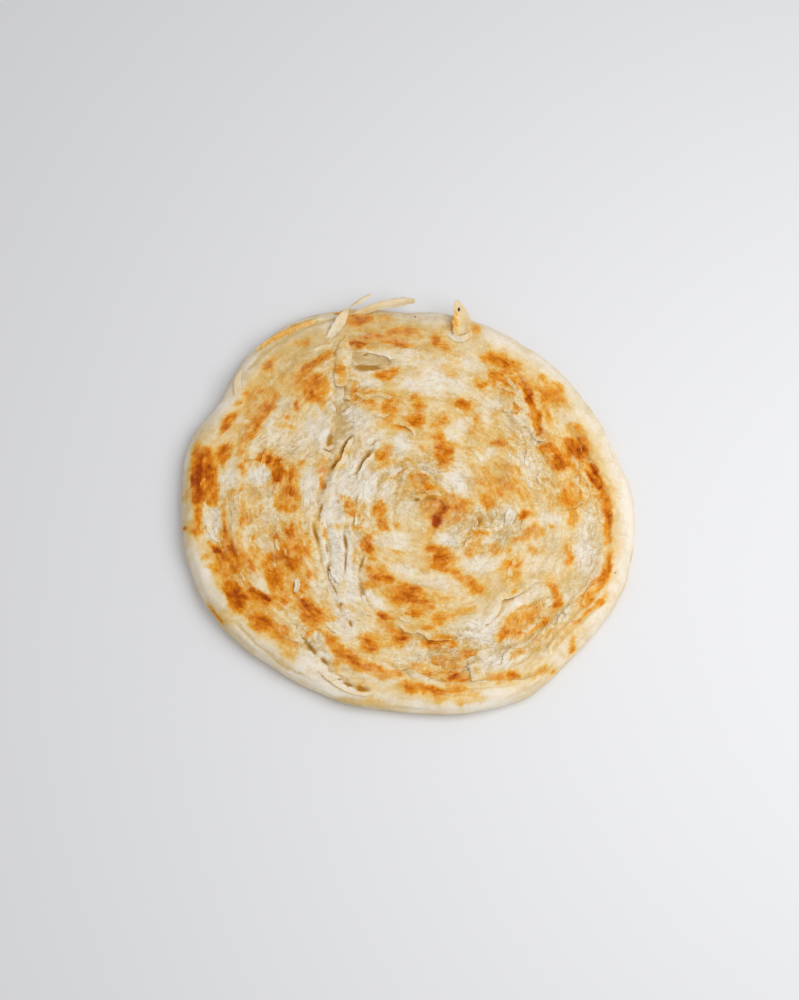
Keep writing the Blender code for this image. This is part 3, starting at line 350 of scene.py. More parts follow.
# Browned streaks: points, each with a half width, and how dark the streak is.
BROWNED_STREAKS = (
    (((-17, 66, 1.0), (-4.5, 63.7, 1.3), (1, 62.5, 1.0)), 0.6),
    (((-57, 61.3, 0.9), (-45, 68.3, 1.2), (-34.4, 72.7, 0.9)), 0.42),
    (((-53.9, 35.3, 1.5), (-57.7, 28.2, 1.6), (-62.2, 21.9, 1.2)), 0.62),
    (((-40.4, 48.6, 1.2), (-38.9, 51.8, 1.4), (-35.2, 55, 1.4), (-29.9, 58.1, 1.5),
      (-27.7, 58.9, 1.0)), 0.68),
    (((-57.4, 19.2, 1.3), (-52.5, 17.8, 2.1), (-48.9, 14.2, 2.3), (-46.6, 8.5, 2.3)), 0.82),
    (((-31.8, 10.9, 0.8), (-31.1, 5.4, 1.0)), 0.62),
    (((1, 12.5, 0.4), (2.6, 8.4, 0.5), (4.4, 4.8, 0.5)), 0.62),
    (((3, 13, 0.4), (6.6, 11.6, 0.5), (10.8, 5.6, 0.7)), 0.66),
    (((-28.5, 14, 0.8), (-25, 18.5, 1.0), (-22.5, 21.9, 0.8)), 0.5),
    (((-69, -1.3, 0.7), (-68.2, -8.4, 0.8), (-67.6, -13.4, 0.9), (-65.2, -19.4, 1.2),
      (-62, -22.7, 0.9)), 0.7),
    (((-74, -15, 0.6), (-69.5, -19.7, 1.0), (-67.3, -21.8, 1.0), (-62, -22.7, 0.8)), 0.72),
    (((-66, -22.7, 0.8), (-64.8, -30.5, 1.0)), 0.6),
    (((-68, -9, 2.0), (-66.5, -18, 3.0), (-64, -28, 4.0), (-59, -40, 4.0), (-53, -47, 3.0)), 0.2),
    (((-59.8, -33, 0.9), (-55.2, -36.2, 1.2), (-50.2, -38, 0.7)), 0.85),
    (((-42.8, -10.5, 0.4), (-42.8, -15.5, 0.5), (-49.5, -19, 0.4)), 0.6),
    (((-31.8, -51.6, 1.6), (-25.4, -58, 2.3), (-19.5, -62.2, 2.2), (-12.7, -65.6, 2.0),
      (-4.6, -67.6, 1.7)), 0.6),
    (((-74.5, -38.7, 0.6), (-69.7, -46.2, 0.7)), 0.7),
    (((10.5, 64, 1.0), (15.7, 60.5, 1.3)), 0.45),
    (((17.9, 74, 0.5), (17.6, 71, 0.8), (17.6, 68, 0.7)), 0.62),
    (((44.2, 46.3, 1.4), (45.7, 41.6, 1.6), (47.9, 35.3, 1.7), (49, 30.6, 1.5),
      (50.9, 25.8, 1.4)), 0.75),
    (((67.4, 16.4, 1.8), (70.4, 10.1, 1.9), (73.4, 5.4, 1.6)), 0.82),
    (((60.7, 17.2, 0.8), (65.2, 9.3, 0.9)), 0.5),
    (((17.2, -27.3, 1.2), (21.7, -30.5, 1.4), (25.5, -32, 1.3)), 0.6),
    (((40.4, -14.3, 1.0), (48, -12.8, 1.0)), 0.5),
    (((73.7, 3.4, 1.4), (74.9, -2.9, 1.6), (75.2, -12.4, 1.5), (74.9, -15.5, 1.2)), 0.62),
    (((76.3, -19.4, 1.3), (74.1, -27.3, 1.6), (70.4, -32.8, 1.8), (65.9, -39.1, 1.7)), 0.68),
    (((74.1, -36.8, 0.7), (67.4, -43.1, 0.9), (61.4, -48.2, 0.8)), 0.6),
    (((53.2, -30.5, 0.9), (55.4, -34.4, 1.3), (56.2, -39.1, 1.4), (53.9, -41.5, 1.2)), 0.66),
    (((45.7, -50.9, 0.8), (53.9, -44.2, 0.9)), 0.62),
    (((48.7, -53.3, 0.9), (55.4, -49.4, 1.0)), 0.45),
    (((62.9, -51.7, 0.8), (60.3, -59.2, 0.7)), 0.62),
    (((47.2, -68.2, 0.9), (52.8, -63.9, 1.0)), 0.56),
    (((13.5, -43.8, 1.1), (25.5, -41.5, 1.0)), 0.3),
    (((0, -71.4, 1.2), (6.7, -73, 1.4), (15, -74.1, 1.2)), 0.55),
)

# Torn sheets: the free edge's points, with the sheet on its left, then the sheet's width, how
# far the edge lifts, how much of the browning under it shows on it, and how ragged the edge is.
TORN_SHEETS = {
    "fissure_bank": (((-35, 21), (-31.4, 21.4), (-30.4, 25), (-28.6, 29.5), (-27.8, 33.5),
                      (-26.8, 37.5), (-28.6, 41.2)), 6.0, 0.3, 0.85, 0.4),
    "slot_roof": (((-20.3, 58.4), (-18.5, 59.2), (-16.4, 59.6), (-13.2, 58.9), (-8.9, 58),
                   (-6.1, 56.6), (-2.8, 57)), 2.4, 0.2, 0.3, 0.4),
    "brown_flap": (((-20.2, 44.7), (-17.2, 41.2), (-15, 40.8), (-12, 42.4), (-7.5, 41.2),
                    (-3.7, 42.4)), 4.0, 0.35, 0.5, 0.45),
    "fissure_chip": (((-27, 16.4), (-27.7, 19.5), (-31.5, 21.1), (-34.4, 21.1)), 4.0, 0.25, 0.5, 0.35),
    "branch_bank": (((-19.5, 26.6), (-22.5, 24.2), (-24.7, 17.9), (-28, 12.5)), 3.5, 0.35, 0.5, 0.35),
    "inner_bank": (((-12, 21.1), (-15, 17.2), (-18, 12.4), (-19, 8)), 3.0, 0.3, 0.5, 0.35),
    "left_scrape": (((-75.6, 2), (-76.4, -3), (-75.4, -9), (-72.6, -14), (-69.5, -17)), 5.5, 0.15, 0.2, 0.5),
    "tail_lip": (((-34, -65.2), (-29.5, -69.3), (-25.5, -72.2), (-21, -74.3), (-16.5, -75.2),
                  (-13.4, -74.9), (-11.6, -73.4)), 2.4, 0.35, 0.1, 0.05),
    "crater_ring": (((36, -7), (33.5, -9.3), (29.5, -9.7), (25.5, -9.4), (24.8, -6.5)), 3.0, 0.5, 0.6, 0.35),
    "ragged_step": (((27.5, -48), (32, -46.5), (35, -41), (36, -38), (41.5, -36.3), (46.8, -31.8),
                     (53.2, -29.8)), 5.0, 0.35, 0.9, 0.35),
    "swirl_lip": (((-4.5, -47), (0, -51), (4.5, -51), (9, -54), (18, -53.2)), 4.0, 0.15, 0.7, 0.3),
    "rim_band": (((53, -63), (48, -67), (43.4, -68.8), (29.2, -69.5), (14.2, -69.9),
                  (4.5, -66.7), (-0.7, -63.6)), 4.0, 0.2, 0.9, 0.15),
    "patch_arc": (((57, -3), (62.5, -2), (66.5, 1)), 4.0, 0.3, 0.95, 0.2),
    "white_lip": (((42.3, 41.6), (40.4, 46.3), (37.4, 49.4)), 2.5, 0.7, 0.1, 0.4),
    "upper_fold": (((-3.7, 31.3), (0, 29.8), (3, 25.8)), 4.0, 0.4, 0.6, 0.5),
    "far_rim": (((-32, 73.6), (-45, 68.8), (-57, 61.5)), 3.0, 0.3, 0.9, 0.15),
    "tent_left": (((-9, 4), (-5, 10), (-0.5, 14.5)), 4.0, 0.2, 0.7, 0.3),
    "tent_flap": (((3.6, 4.4), (7, 4), (10.6, 4.8), (11.6, 7)), 8.0, 0.5, 1.0, 0.3),
    "tent_back": (((11.4, 8), (8, 12.4), (3.5, 13.6), (-0.5, 16)), 3.5, 0.25, 0.7, 0.3),
}

# How finely the sheets are laid out, along their edges and across, and how much of the browning
# shows on a small flake and how ragged it is.
SHEET_EDGE_STEP = 0.45
SHEET_COLUMNS = 8
FLAKE_SHOWN = 0.7
FLAKE_TORN = 0.6

# Marks were measured on a flat view. Perspective puts them nearer and wider apart by so much.
WIDENING = 0.00035
NEARER = 1.9
NEARER_REACH = 75.0

# The dough's fibres: their length and width along the strands, how far apart the layers lie at
# the side, and how the torn layers of the finish are stretched along all three.
FIBRE_LENGTH = 6.0
FIBRE_WIDTH = 0.9
LAYER_WIDTH = 0.8
SHEET_STRETCH = (1.0, 1.0, 0.35)

# Loose ribbons: points with the height of each above the dough, its half width and its twist
# in degrees, then how browned it is, how much of the browning under it shows on it, how moist
# it is, its tan partly painted shade, and how far its sides curl up.
RIBBONS = {
    "twisted_strip": (((-30, 64.2, -0.5, 0.5, 0), (-27.8, 67.2, 0.6, 1.6, 5),
                       (-25.2, 70.6, 1.3, 1.9, 12), (-23.3, 73.6, 1.9, 1.6, 40),
                       (-21.3, 76, 2.4, 1.2, 100), (-17.6, 78.7, 2.7, 1.0, 160),
                       (-13.6, 81.3, 2.9, 0.4, 180)), 0.05, 0.1, 0.15, 0.3),
    "far_ribbon": (((-22, 72.8, -1.3, 0.8, 0), (-17, 75.6, -1.0, 1.4, -4), (-11, 77.4, 0.0, 1.7, -8),
                    (-4, 78.7, 1.0, 2.1, -16), (0.5, 79.1, 1.5, 2.0, -26), (3, 78.8, 1.8, 1.4, -40)),
                   0.08, 0.2, 0.3, 0.3),
    "strap": (((-22.2, 66.8, -0.4, 0.4, 0), (-22.8, 64.6, 0.1, 1.0, 3), (-23.3, 62.8, 0.25, 2.2, 2),
               (-23.5, 60.4, 0.3, 3.0, 0), (-23.8, 56, 0.3, 3.1, 0), (-24.3, 52.5, 0.3, 3.1, 0),
               (-24.6, 49.3, 0.3, 3.0, 0), (-24.8, 47.2, 0.3, 2.5, 0), (-24.9, 45.9, 0.1, 1.3, 0)),
              0.0, 1.0, 0.1, -0.1),
    "tongue": (((-25.8, 48, -1.0, 2.1, 0), (-25.7, 44.5, -1.2, 2.2, 3), (-25.2, 41.5, -1.5, 1.7, 4),
                (-24.9, 39.3, -1.9, 1.2, 6), (-24.7, 37.4, -2.5, 0.5, 8)), 0.0, 0.2, 0.75, -0.1),
    "curled_flap": (((20.4, 65.2, -0.5, 2.6, 0), (20.5, 68.2, 1.2, 3.5, 0),
                     (20.2, 72, 2.4, 3.3, 6), (19.3, 75.6, 3.2, 2.2, 12), (18.6, 78.4, 3.8, 0.7, 16)),
                    0.1, 1.0, 0.2, 0.45),
    "flap_lip": (((15.4, 67.6, -0.4, 0.6, 20), (17, 65.6, 0.5, 1.0, 35), (20.2, 64.6, 0.8, 1.2, 40),
                  (23, 65.9, 0.6, 1.0, 35), (24.8, 68.2, -0.4, 0.6, 20)), 0.0, 0.0, 0.0, 0.3),
    "pale_chip": (((39.4, -1, -0.3, 1.0, 0), (39, -3.6, 0.2, 1.9, 0), (38.2, -6.6, 0.2, 1.8, 0),
                   (37.6, -9, -0.3, 0.9, 0)), 0.0, 0.0, 0.0, 0.1),
    "square_chip": (((24.8, -59.6, -0.1, 2.7, 0), (25.4, -63, 0.15, 2.8, 0),
                     (26.2, -66.5, 0.15, 2.8, 0), (26.8, -69.6, -0.1, 2.7, 0)), 0.24, 0.1, 0.1, -0.06),
    "upright_chip": (((-41.6, -28.6, -0.3, 0.6, 5), (-41, -32, 0.4, 1.0, 5), (-41.8, -34.8, 0, 0.7, 5)),
                     0.0, 0.0, 0.0, 0.2),
    "rim_flake": (((-61.9, 52.4, -1.1, 0.5, 0), (-63.4, 48.2, -0.6, 1.3, 8), (-63.2, 42.6, -0.4, 1.5, 8),
                   (-63.8, 37.5, -0.8, 0.8, 6)), 0.0, 0.3, 0.3, 0.05),
}

# How finely the ribbons are laid out, across and along.
RIBBON_COLUMNS = 6
RIBBON_STEP = 0.6

# Charred specks: x, y, half length and, for one on a loose sheet, its height above the dough.
SPECKS = (
    (20.0, 75.2, 0.85, 3.2), (3.2, 73.6, 0.5, 0), (-63.4, 45.5, 0.35, -0.4), (77.2, -28.6, 0.35, 0),
    (-20.2, 30.5, 0.3, 0),
)


# Noise over the top: the length of its features, or their length and width along the coil, and
# where it starts. Noise round the bread has a rate in place of a length.
NOISE_OCTAVES = 3
OCTAVE_RATIO = 2.0
OCTAVE_FALL = 1.0
WOBBLE_NOISE = (4.0, 3.7)
LAYER_RATE = 4.6
SIDE_NOISE = (9.0, 2.0)
SWELL_NOISE = (34.0, 5.0)
CRUMPLE_NOISE = (6.0, 140.0)
RIM_NOISE = (7.0, 57.0)
MOTTLE_NOISE = (3.2, 97.0)
FINE_STREAKS = (7.0, 1.9, 60.0)
LONG_STREAKS = (24.0, 2.3, 75.0)
TOAST_STREAKS = (5.0, 1.9, 110.0)
# Lighter flecks in the browning are painted highlights, where raised flakes catch the light.
HIGHLIGHT_FLECKS = (4.0, 2.2, 160.0)
RAGGED_STARTS = (11.0, 23.0)
BROWNED_STARTS = (71.0, 83.0)

# Fades: where a share begins to rise and where it is full. The first ones count from the coil's
# middle, 0, to the bread's edge, 1, and those of ends from the end of a mark to its other end.
STRANDS_FADE = (0.15, 0.55)
CALM_FADE = (0.12, 0.42)
RELIEF_FADE = (0.97, 0.85)
FLAKY_FADE = (0.95, 0.81)
UNTOUCHED_FADE = (0.88, 0.96)
CREASE_ENDS = (0.0, 0.08)
MARK_ENDS = (0.0, 0.1)
SHEET_ENDS = (0.0, 0.16)
HIGHLIGHT_FLECK_FADE = (0.14, 0.26)

# How soft the rims of the ellipses are, as a share of their size.
CRISP_EDGES = 0.4
SOFT_EDGES = 0.5
BROAD_EDGES = 0.7

# Shares of the relief: the torn steps' on the rim, and what is added inside it and where the
# dough is flaky, the same of the skin's flakiness, the crumpled folds' on plain dough and what
# flaky dough adds, the streaks' on plain dough, how much of the steps stays in the coil's middle,
# how deep strandy dough is, how suddenly folds rise, and how torn an edge is anywhere.
STEP_SHARES = (0.25, 0.45, 0.35)
FLAKY_SHARES = (0.1, 0.3, 0.6)
FOLD_SHARES = (0.2, 0.6)
STREAKS_ANYWHERE = 0.15
CALM_MIDDLE = 0.35
STRANDY_DEPTH = 3.0
CRUMPLE_SUDDENNESS = 0.12
RAGGED_ANYWHERE = 0.45

# Creases and the painted shadow beside a lifted edge: how much of the depth is left at a crease's
# end, and the reach, the width and the strength beside an edge that lies flat.
SAMPLES_A_POINT = 8
EDGE_SAMPLES = 361
CREASE_END_DEPTH = 0.35
BESIDE_REACH = 3.0
BESIDE_WIDTH = 0.9
BESIDE_FLAT = 0.3

# What varies the browning: where a patch's and a streak's rims lie, how much softer a streak
# is and how dark its ends are, from where on a patch pales, how strongly the rims' softness
# changes, how much white dough takes from a patch and from its halo, how far it mottles and
# streaks, what the flecks of painted highlight take from pale and from browned dough, what
# crumpled sheets take, how much less than plain dough flaky dough, the rim and white dough are
# warmed, and the least.
PATCH_RIM = 1.1
STREAK_RIM = 1.15
STREAK_SOFTNESS = 1.6
STREAK_END_DARKNESS = 0.5
PALE_FROM = 0.2
SOFTNESS_CHANGE = 1.4
WHITE_IN_PATCH = 0.3
WHITE_IN_HALO = 0.85
MOTTLED = 0.08
STREAKED = 0.22
HIGHLIGHT_FLECKED = (0.3, 0.1)
CRUMPLED = 0.12
UNTOUCHED_FLAKY = 0.14
UNTOUCHED_RIM = 0.2
UNTOUCHED_WHITE = 0.18
PALEST = -0.2

# The side: the lengths of its arc and of the shoulder's, how far apart its layers lie, where
# they fade, how much of the foot is drawn in, and how the browning ends there.
SIDE_ARC = 4.0
SHOULDER_ARC = 7.0
LAYER_SPACING = 1.5
LAYERS_FROM_SHOULDER = (1.0, 0.375)
LAYERS_TO_FOOT = (QUARTER_TURN, QUARTER_TURN - 0.35)
FOOT_DRAWN_IN = 0.95
SHOULDER_BROWN = 0.3
SHOULDER_BROWN_DEPTH = (0.8, 0.6, 0.3)
SIDE_BROWN = 0.3
SIDE_BROWN_FADE = (1.0 / 2.4, 0.0)
SIDE_MOIST_AND_SHADE_FADE = (1.0, 0.0)
FOOT_FADE = (1.2, 1.5)

# Painted highlights on bright edges and painted shade in dark hollows: over how many neighbours
# and for which height a place counts as raised, and how much layers, creases, lifted edges and
# white dough add.
LIP_SPREAD = 5
LIP_HEIGHT = 0.32
LIP_LIMIT = 0.8
LAYERED_HOLLOW = 0.5
CREASE_HOLLOW = 2.2
CREASE_SPARED = 0.1
BESIDE_HOLLOW = 0.7
WHITE_LIP = 0.25

# A torn sheet: its tears' sizes, lengths and starts, how its columns crowd at the free edge, how
# wide it is at its ends, and how its edge curls, rises and sinks into the dough behind.
SHEET_LEAST_STEPS = 6
SHEET_TEARS = ((1.6, 4.2, 0.0), (0.9, 1.3, 40.0))
SHEET_CROWDING = 1.4
SHEET_END_WIDTH = 0.35
SHEET_CURL = (0.7, 0.5, 4.0, 80.0)
SHEET_BEDDED = 0.55
SHEET_LEAST_RISE = 0.08
SHEET_RISE = 0.75
SHEET_FALL = 1.6
SHEET_SUNK_BACK = 0.5
SHEET_SUNK_ENDS = 0.3
# The painted highlight along a sheet's free edge.
SHEET_EDGE_HIGHLIGHT = 0.35

# A ribbon: how its width wavers, each wave with its share and start, and its bowed sides.
RIBBON_LEAST_STEPS = 8
RIBBON_WAVES = 9.0
RIBBON_BROAD = (0.2, 3.0)
RIBBON_NICKED = (0.1, 1.4, 7.0)
RIBBON_BOWED_FROM = 0.4
RIBBON_TOASTED = (0.6, 0.8, 3.0)
# The painted highlight on a ribbon's sides.
RIBBON_SIDE_HIGHLIGHT = 0.4


def ease(value, start=0.0, end=1.0):
    """Eases from 0 to 1 as the value goes from the start to the end."""
    share = np.clip((value - start) / (end - start), 0.0, 1.0)
    return share * share * (3.0 - 2.0 * share)


def soft_step(value, width):
    """A step from 0 to 1 where the value crosses 0, as soft as the width."""
    return ease(value / width, -0.5, 0.5)


def fade_in(low, share):
    """From the low value to 1 as the share goes from 0 to 1."""
    return low + (1.0 - low) * share


def fractal(x, y, z):
    """Fractal noise, about -1 to 1, at each of the places."""
    places = np.column_stack(np.broadcast_arrays(x, y, z)).tolist()
    settings = (OCTAVE_FALL, OCTAVE_RATIO, NOISE_OCTAVES)
    return np.array([noise.fractal(place, *settings) for place in places])


def patches(x, y, length, start):
    """Noise over the top with features of about the length."""
    return fractal(x / length, y / length, start)


def around(angle, rate, start):
    """Noise that runs round the bread without a seam, finer the higher its rate."""
    return fractal(rate * np.cos(angle), rate * np.sin(angle), start)


def between(p0, p1, p2, p3, share):
    """The place at the share of the way from p1 to p2, on a smooth curve through all four."""
    return 0.5 * (
        2.0 * p1
        + (p2 - p0) * share
        + (2.0 * p0 - 5.0 * p1 + 4.0 * p2 - p3) * share**2
        + (3.0 * p1 - p0 - 3.0 * p2 + p3) * share**3
    )


def on_bread(x, y):
    """Where a mark that was measured on a flat view lies on the bread."""
    return x * (1.0 + WIDENING * y), y - NEARER * (1.0 - (y / NEARER_REACH) ** 2)


def smooth_path(points, samples):
    """Evenly numbered samples of a smooth curve through the points, a row for each."""
    knots = np.array(points, float)
    knots[:, 0], knots[:, 1] = on_bread(knots[:, 0], knots[:, 1])
    before = 2.0 * knots[0] - knots[1]
    after = 2.0 * knots[-1] - knots[-2]
    padded = np.vstack([before, knots, after])
    at = np.linspace(0.0, len(knots) - 1.0, samples)
    first = np.minimum(at.astype(int), len(knots) - 2)
    share = (at - first)[:, None]
    return between(*(padded[first + k] for k in range(4)), share)


def path_length(points):
    """The length of the straight runs between the points, seen from above."""
    knots = np.array(points, float)[:, :2]
    return float(np.linalg.norm(np.diff(knots, axis=0), axis=1).sum())


def beside_path(path, offset):
    """The places so far to the left of the path, a row of them for each of its points."""
    along = np.gradient(path[:, :2], axis=0)
    along /= np.linalg.norm(along, axis=1)[:, None]
    x = path[:, None, 0] - along[:, None, 1] * offset
    y = path[:, None, 1] + along[:, None, 0] * offset
    return x, y


def edge_radius(angle):
    """The bread's radius in each direction, with a little unevenness."""
    radii = np.array(EDGE_RADII)
    spaced = np.asarray(angle) / FULL_TURN * len(radii)
    first = np.floor(spaced).astype(int)
    share = spaced - first
    smooth = between(*(radii[(first + k) % len(radii)] for k in (-1, 0, 1, 2)), share)
    return smooth + EDGE_WOBBLE * around(angle, *WOBBLE_NOISE)


def coil_place(x, y):
    """The angle about the coil's middle, and the share of the way from there to the edge."""
    turn = np.linspace(0.0, FULL_TURN, EDGE_SAMPLES)
    reach = edge_radius(turn)
    edge_x = reach * np.cos(turn) - COIL_MIDDLE[0]
    edge_y = reach * np.sin(turn) - COIL_MIDDLE[1]
    edge_angle = np.unwrap(np.arctan2(edge_y, edge_x))
    across, along = x - COIL_MIDDLE[0], y - COIL_MIDDLE[1]
    angle = np.arctan2(along, across)
    wrapped = (angle - edge_angle[0]) % FULL_TURN + edge_angle[0]
    edge = np.interp(wrapped, edge_angle, np.hypot(edge_x, edge_y))
    return angle, np.hypot(across, along) / edge


def coil_lines(x, y):
    """The angle about the coil's middle, the reach, and the place across the strands.

    Near the middle, where the dough is crumpled, the strands lie further apart.
    """
    angle, reach = coil_place(x, y)
    out = COIL_REACH * reach
    return angle, out, out**2 / (out + CRUMPLED_REACH)


def along_coil(x, y, length, width, start):
    """Streaky noise whose streaks follow the coil, and lose their way near its middle."""
    angle, out, across = coil_lines(x, y)
    along = out / length
    return fractal(along * np.cos(angle), along * np.sin(angle), across / width + start)


def nearest_on_path(x, y, path):
    """Distance to the path, positive on its left, and the width and end share there."""
    start, span = path[:-1, :2], np.diff(path[:, :2], axis=0)
    offset = np.stack([x, y], axis=1)[:, None, :] - start[None]
    length = (span**2).sum(1)
    along = np.clip((offset * span).sum(2) / length, 0.0, 1.0)
    gap = offset - along[:, :, None] * span
    distance = np.sqrt((gap**2).sum(2))
    best = distance.argmin(1)
    row = np.arange(len(x))
    side = span[best, 0] * offset[row, best, 1] - span[best, 1] * offset[row, best, 0]
    place = best + along[row, best]
    width = np.interp(place, np.arange(len(path)), path[:, 2])
    ends = np.minimum(place, len(path) - 1.0 - place) / (len(path) - 1.0)
    return distance[row, best] * np.sign(side), width, ends


def near_mark(x, y, points, reach):
    """Which places lie in the mark's box, widened by the reach, and where they are beside it."""
    path = smooth_path(points, SAMPLES_A_POINT * len(points))
    low, high = path[:, :2].min(0) - reach, path[:, :2].max(0) + reach
    near = (x > low[0]) & (x < high[0]) & (y > low[1]) & (y < high[1])
    return near, *nearest_on_path(x[near], y[near], path)


def crease_relief(x, y):
    """The grooves between strands and sheets, and the steps up beside them."""
    height = np.zeros(len(x))
    for points, depth, rise in CREASES.values():
        near, distance, width, ends = near_mark(x, y, points, CREASE_REACH)
        fade = ease(ends, *CREASE_ENDS)
        groove = -depth * np.exp(-((distance / width) ** 2)) * fade_in(CREASE_END_DEPTH, fade)
        raised = soft_step(distance, 2.0 * STEP_LENGTH)
        tail = ease(1.0 - np.abs(distance) / CREASE_REACH)
        height[near] += groove + rise * raised * tail * fade
    return height


def painted_shadow_beside_sheets(x, y):
    """The places down beside the torn sheets' free edges, where a painted shadow darkens the dough."""
    beside = np.zeros(len(x))
    for points, _, lift, _, _ in TORN_SHEETS.values():
        edge = [(*point, 1.0) for point in points]
        near, distance, _, ends = near_mark(x, y, edge, BESIDE_REACH)
        shade = np.exp(-((np.minimum(distance, 0.0) / BESIDE_WIDTH) ** 2))
        shade *= ease(ends, *MARK_ENDS) * min(1.0, BESIDE_FLAT + lift)
        beside[near] = np.maximum(beside[near], shade)
    return beside


def out_of_ellipse(x, y, ellipse):
    """How far out of the turned ellipse each place lies: 1 on its rim."""
    half_length, half_width, turn = ellipse[2:5]
    middle_x, middle_y = on_bread(*ellipse[:2])
    lean = math.radians(turn)
    along = (x - middle_x) * math.cos(lean) + (y - middle_y) * math.sin(lean)
    across = (y - middle_y) * math.cos(lean) - (x - middle_x) * math.sin(lean)
    return np.hypot(along / half_length, across / half_width)


def in_ellipses(x, y, ellipses, softness):
    """How strongly each place is covered by the turned ellipses, with soft edges."""
    covered = np.zeros(len(x))
    for ellipse in ellipses:
        inside = soft_step(1.0 - out_of_ellipse(x, y, ellipse), 2.0 * softness)
        covered = np.maximum(covered, ellipse[5] * inside)
    return covered


def shaken(x, y, shakes, starts, strength=1.0):
    """The places, moved about by noise of each of the sizes and lengths."""
    moved_x, moved_y = x, y
    for size, length in shakes:
        moved_x = moved_x + strength * size * patches(x, y, length, starts[0])
        moved_y = moved_y + strength * size * patches(x, y, length, starts[1])
    return moved_x, moved_y


def ragged_place(x, y):
    """The places, shaken so that whatever is drawn on them gets torn edges."""
    torn = RAGGED_ANYWHERE + in_ellipses(x, y, TATTERED, SOFT_EDGES)
    return shaken(x, y, RAGGED, RAGGED_STARTS, torn)


def crumpled_share(x, y):
    """Where one crumpled sheet lies over the next: 1 on the upper one, 0 on the lower."""
    return soft_step(patches(x, y, *CRUMPLE_NOISE), CRUMPLE_SUDDENNESS)


def plain_height(shape, x, y):
    """The height of the dough over each place without its creases."""
    ragged_x, ragged_y = ragged_place(x, y)
    angle, reach = coil_place(ragged_x, ragged_y)
    inner = ease(reach, *RELIEF_FADE)
    flaky = in_ellipses(ragged_x, ragged_y, FLAKY, SOFT_EDGES) * inner
    height = shape.thickness / MM + shape.swell / MM * patches(x, y, *SWELL_NOISE)
    strand = np.cos(FULL_TURN * (STRANDS * reach - angle / FULL_TURN))
    height += shape.strand_relief / MM * strand * ease(reach, *STRANDS_FADE)
    on_rim, inside, on_flaky = STEP_SHARES
    stepped = on_rim + inside * inner + on_flaky * flaky
    stepped *= shape.sheet_step / MM * fade_in(CALM_MIDDLE, ease(reach, *CALM_FADE))
    for length, width, share, suddenness, start in SHEETS:
        streak = along_coil(ragged_x, ragged_y, length, width, start)
        height += share * stepped * (soft_step(streak, suddenness) - 0.5)
    streaks = (STREAKS_ANYWHERE + flaky) * along_coil(x, y, *FINE_STREAKS)
    strandy = in_ellipses(x, y, STRANDY, CRISP_EDGES)
    streaks += STRANDY_DEPTH * strandy * along_coil(x, y, *LONG_STREAKS)
    height += shape.streak_relief / MM * streaks
    fold = (crumpled_share(ragged_x, ragged_y) - 0.5) * inner
    height += shape.sheet_step / MM * fold * (FOLD_SHARES[0] + FOLD_SHARES[1] * flaky)
    return height


def top_height(shape, x, y):
    """The height of the bread's upper side over each place, before its edge is rounded."""
    gaps = GAP_DEPTH * in_ellipses(x, y, SHADED_GAPS, GAP_SOFTNESS)
    return plain_height(shape, x, y) + crease_relief(*ragged_place(x, y)) - gaps


def rounded_off(height, inward):
    """The top's height so far in from the edge, where its shoulder rounds it off."""
    share = np.sqrt(1.0 - (1.0 - np.clip(inward / SHOULDER, 0.0, 1.0)) ** 2)
    return WIDEST_HEIGHT + (height - WIDEST_HEIGHT) * share


def surface_height(shape, x, y):
    """The height of the bread's skin over each place."""
    inward = edge_radius(np.arctan2(y, x)) - np.hypot(x, y)
    return rounded_off(top_height(shape, x, y), inward)


def browned_marks(x, y, softness):
    """How dark the patches and streaks make each place, and how pale their halos leave it."""
    core, paler = np.zeros(len(x)), np.ones(len(x))
    for ellipse in BROWNED:
        strength = ellipse[5]
        out = out_of_ellipse(x, y, ellipse)
        beyond = np.maximum(out - 1.0, 0.0) * math.sqrt(ellipse[2] * ellipse[3])
        inside = soft_step(PATCH_RIM - out, softness)
        inside *= 1.0 - RIM_PALENESS * ease(out - PALE_FROM)
        core = np.maximum(core, strength * inside)
        paler *= 1.0 - HALO_SHARE * strength * np.exp(-beyond / HALO_REACH)
    for points, strength in BROWNED_STREAKS:
        near, distance, width, ends = near_mark(x, y, points, 5.0 * HALO_REACH)
        out = np.abs(distance)
        beyond = np.maximum(out - width, 0.0)
        inside = soft_step(STREAK_RIM - out / width, STREAK_SOFTNESS * softness[near])
        inside *= strength * fade_in(STREAK_END_DARKNESS, ease(ends, *MARK_ENDS))
        core[near] = np.maximum(core[near], inside)
        paler[near] *= 1.0 - HALO_SHARE * strength * np.exp(-beyond / HALO_REACH)
    return core, paler


